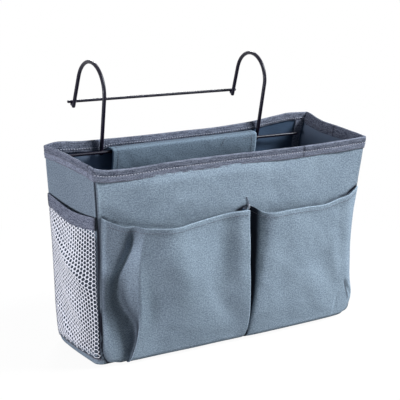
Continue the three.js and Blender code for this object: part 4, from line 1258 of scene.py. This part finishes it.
# How far from the middle, in metres, the floor's shadow fades, and the share of plain white there
SHADOW_FADE = {1: 0.2, 2: 0.45, 3: 0.95, 4: 1.0}
SKY_COLOUR, SKY_STRENGTH = (0.93, 0.96, 1.0, 1), 0.12
LAMP_TARGET = Vector((0, 0, 0.1))


def white_seen(tree):
    """1 for the camera and for mirrors and glass, 0 for the light that falls on the object."""
    path = node(tree, "ShaderNodeLightPath").outputs
    mirrored = maths(tree, "MAXIMUM", path["Is Glossy Ray"], path["Is Transmission Ray"])
    return maths(tree, "MAXIMUM", path["Is Camera Ray"], mirrored)


def bare_tree(owner):
    owner.use_nodes = True
    owner.node_tree.nodes.clear()
    return owner.node_tree


def mixed(tree, share, a, b):
    return node(tree, "ShaderNodeMixShader", {0: share, 1: a.outputs[0], 2: b.outputs[0]}).outputs[0]


def stage():
    mesh = bpy.data.meshes.new("floor")
    corners = [(x * FLOOR_HALF, y * FLOOR_HALF, 0) for x, y in ((-1, -1), (1, -1), (1, 1), (-1, 1))]
    mesh.from_pydata(corners, [], [(0, 1, 2, 3)])
    floor = show("floor", mesh)
    floor.location.z = -FLOOR_DROP * MM
    material = bpy.data.materials.new("floor_white")
    tree = bare_tree(material)
    # Seen by the camera the floor is white paper. What it throws back on the object is that of a grey one.
    paper = blend_colour(tree, white_seen(tree), (FLOOR_GREY,) * 3 + (1,), (FLOOR_PAPER,) * 3 + (1,))
    lit = node(tree, "ShaderNodeBsdfDiffuse", {"Color": paper})
    white = node(tree, "ShaderNodeEmission", {"Color": WHITE, "Strength": 1.0})
    place = node(tree, "ShaderNodeTexCoord").outputs["Object"]
    away = node(tree, "ShaderNodeVectorMath", {0: place}, operation="LENGTH").outputs["Value"]
    share = node(tree, "ShaderNodeMapRange", {0: away, **SHADOW_FADE}).outputs[0]
    seen = maths(tree, "MULTIPLY", white_seen(tree), share)
    node(tree, "ShaderNodeOutputMaterial", {0: mixed(tree, seen, lit, white)})
    mesh.materials.append(material)

    world = bpy.data.worlds.new("studio")
    SCENE.world = world
    tree = bare_tree(world)
    soft = node(tree, "ShaderNodeBackground", {"Color": SKY_COLOUR, "Strength": SKY_STRENGTH})
    white = node(tree, "ShaderNodeBackground", {"Color": WHITE, "Strength": 1.0})
    node(tree, "ShaderNodeOutputWorld", {0: mixed(tree, white_seen(tree), soft, white)})


def toward_viewer(azimuth, elevation):
    """Direction to an azimuth and elevation in radians, where azimuth 0 is in front and grows to the right."""
    level = math.cos(elevation)
    return Vector((math.sin(azimuth) * level, -math.cos(azimuth) * level, math.sin(elevation)))


def lamp(name, azimuth, elevation, distance, size, power, colour=(1, 1, 1)):
    """Area lamp aimed at the bag from an azimuth and elevation in degrees."""
    data = bpy.data.lights.new(name, "AREA")
    data.shape, data.size, data.energy, data.color = "DISK", size, power, colour
    made = show(name, data)
    toward = toward_viewer(math.radians(azimuth), math.radians(elevation))
    made.location = LAMP_TARGET + toward * distance
    made.rotation_euler = toward.to_track_quat("Z", "Y").to_euler()


def camera():
    data = bpy.data.cameras.new("camera")
    data.sensor_width = SENSOR
    data.lens = SENSOR * FOCAL_PIXELS / PICTURE_PIXELS
    made = show("camera", data)
    back = toward_viewer(CAMERA_AZIMUTH, CAMERA_ELEVATION)
    right = (-back).cross(Vector((0, 0, 1))).normalized()
    up = right.cross(-back)
    c, s = math.cos(CAMERA_ROLL), math.sin(CAMERA_ROLL)
    turned = Matrix((right * c + up * s, up * c - right * s, back)).transposed().to_4x4()
    made.matrix_world = Matrix.Translation(CAMERA_TARGET + back * CAMERA_DISTANCE) @ turned
    SCENE.camera = made


camera()
stage()
lamp("key", 62, 38, 2.4, 0.8, 105.0)
lamp("fill", -80, 3.0, 1.8, 0.36, 26.5, (0.99, 0.95, 0.98))
lamp("back", 155, 32, 2.4, 0.8, 45.0)
SCENE.view_settings.view_transform = "Standard"

bag_shell()
rim_binding()
for end, toward in ENDS:
    corner_tape(end, toward, True)
    corner_tape(end, toward, False)
pockets()
for end, toward in ENDS:
    net_pocket(end, toward)
bar_sleeve()
hanger()
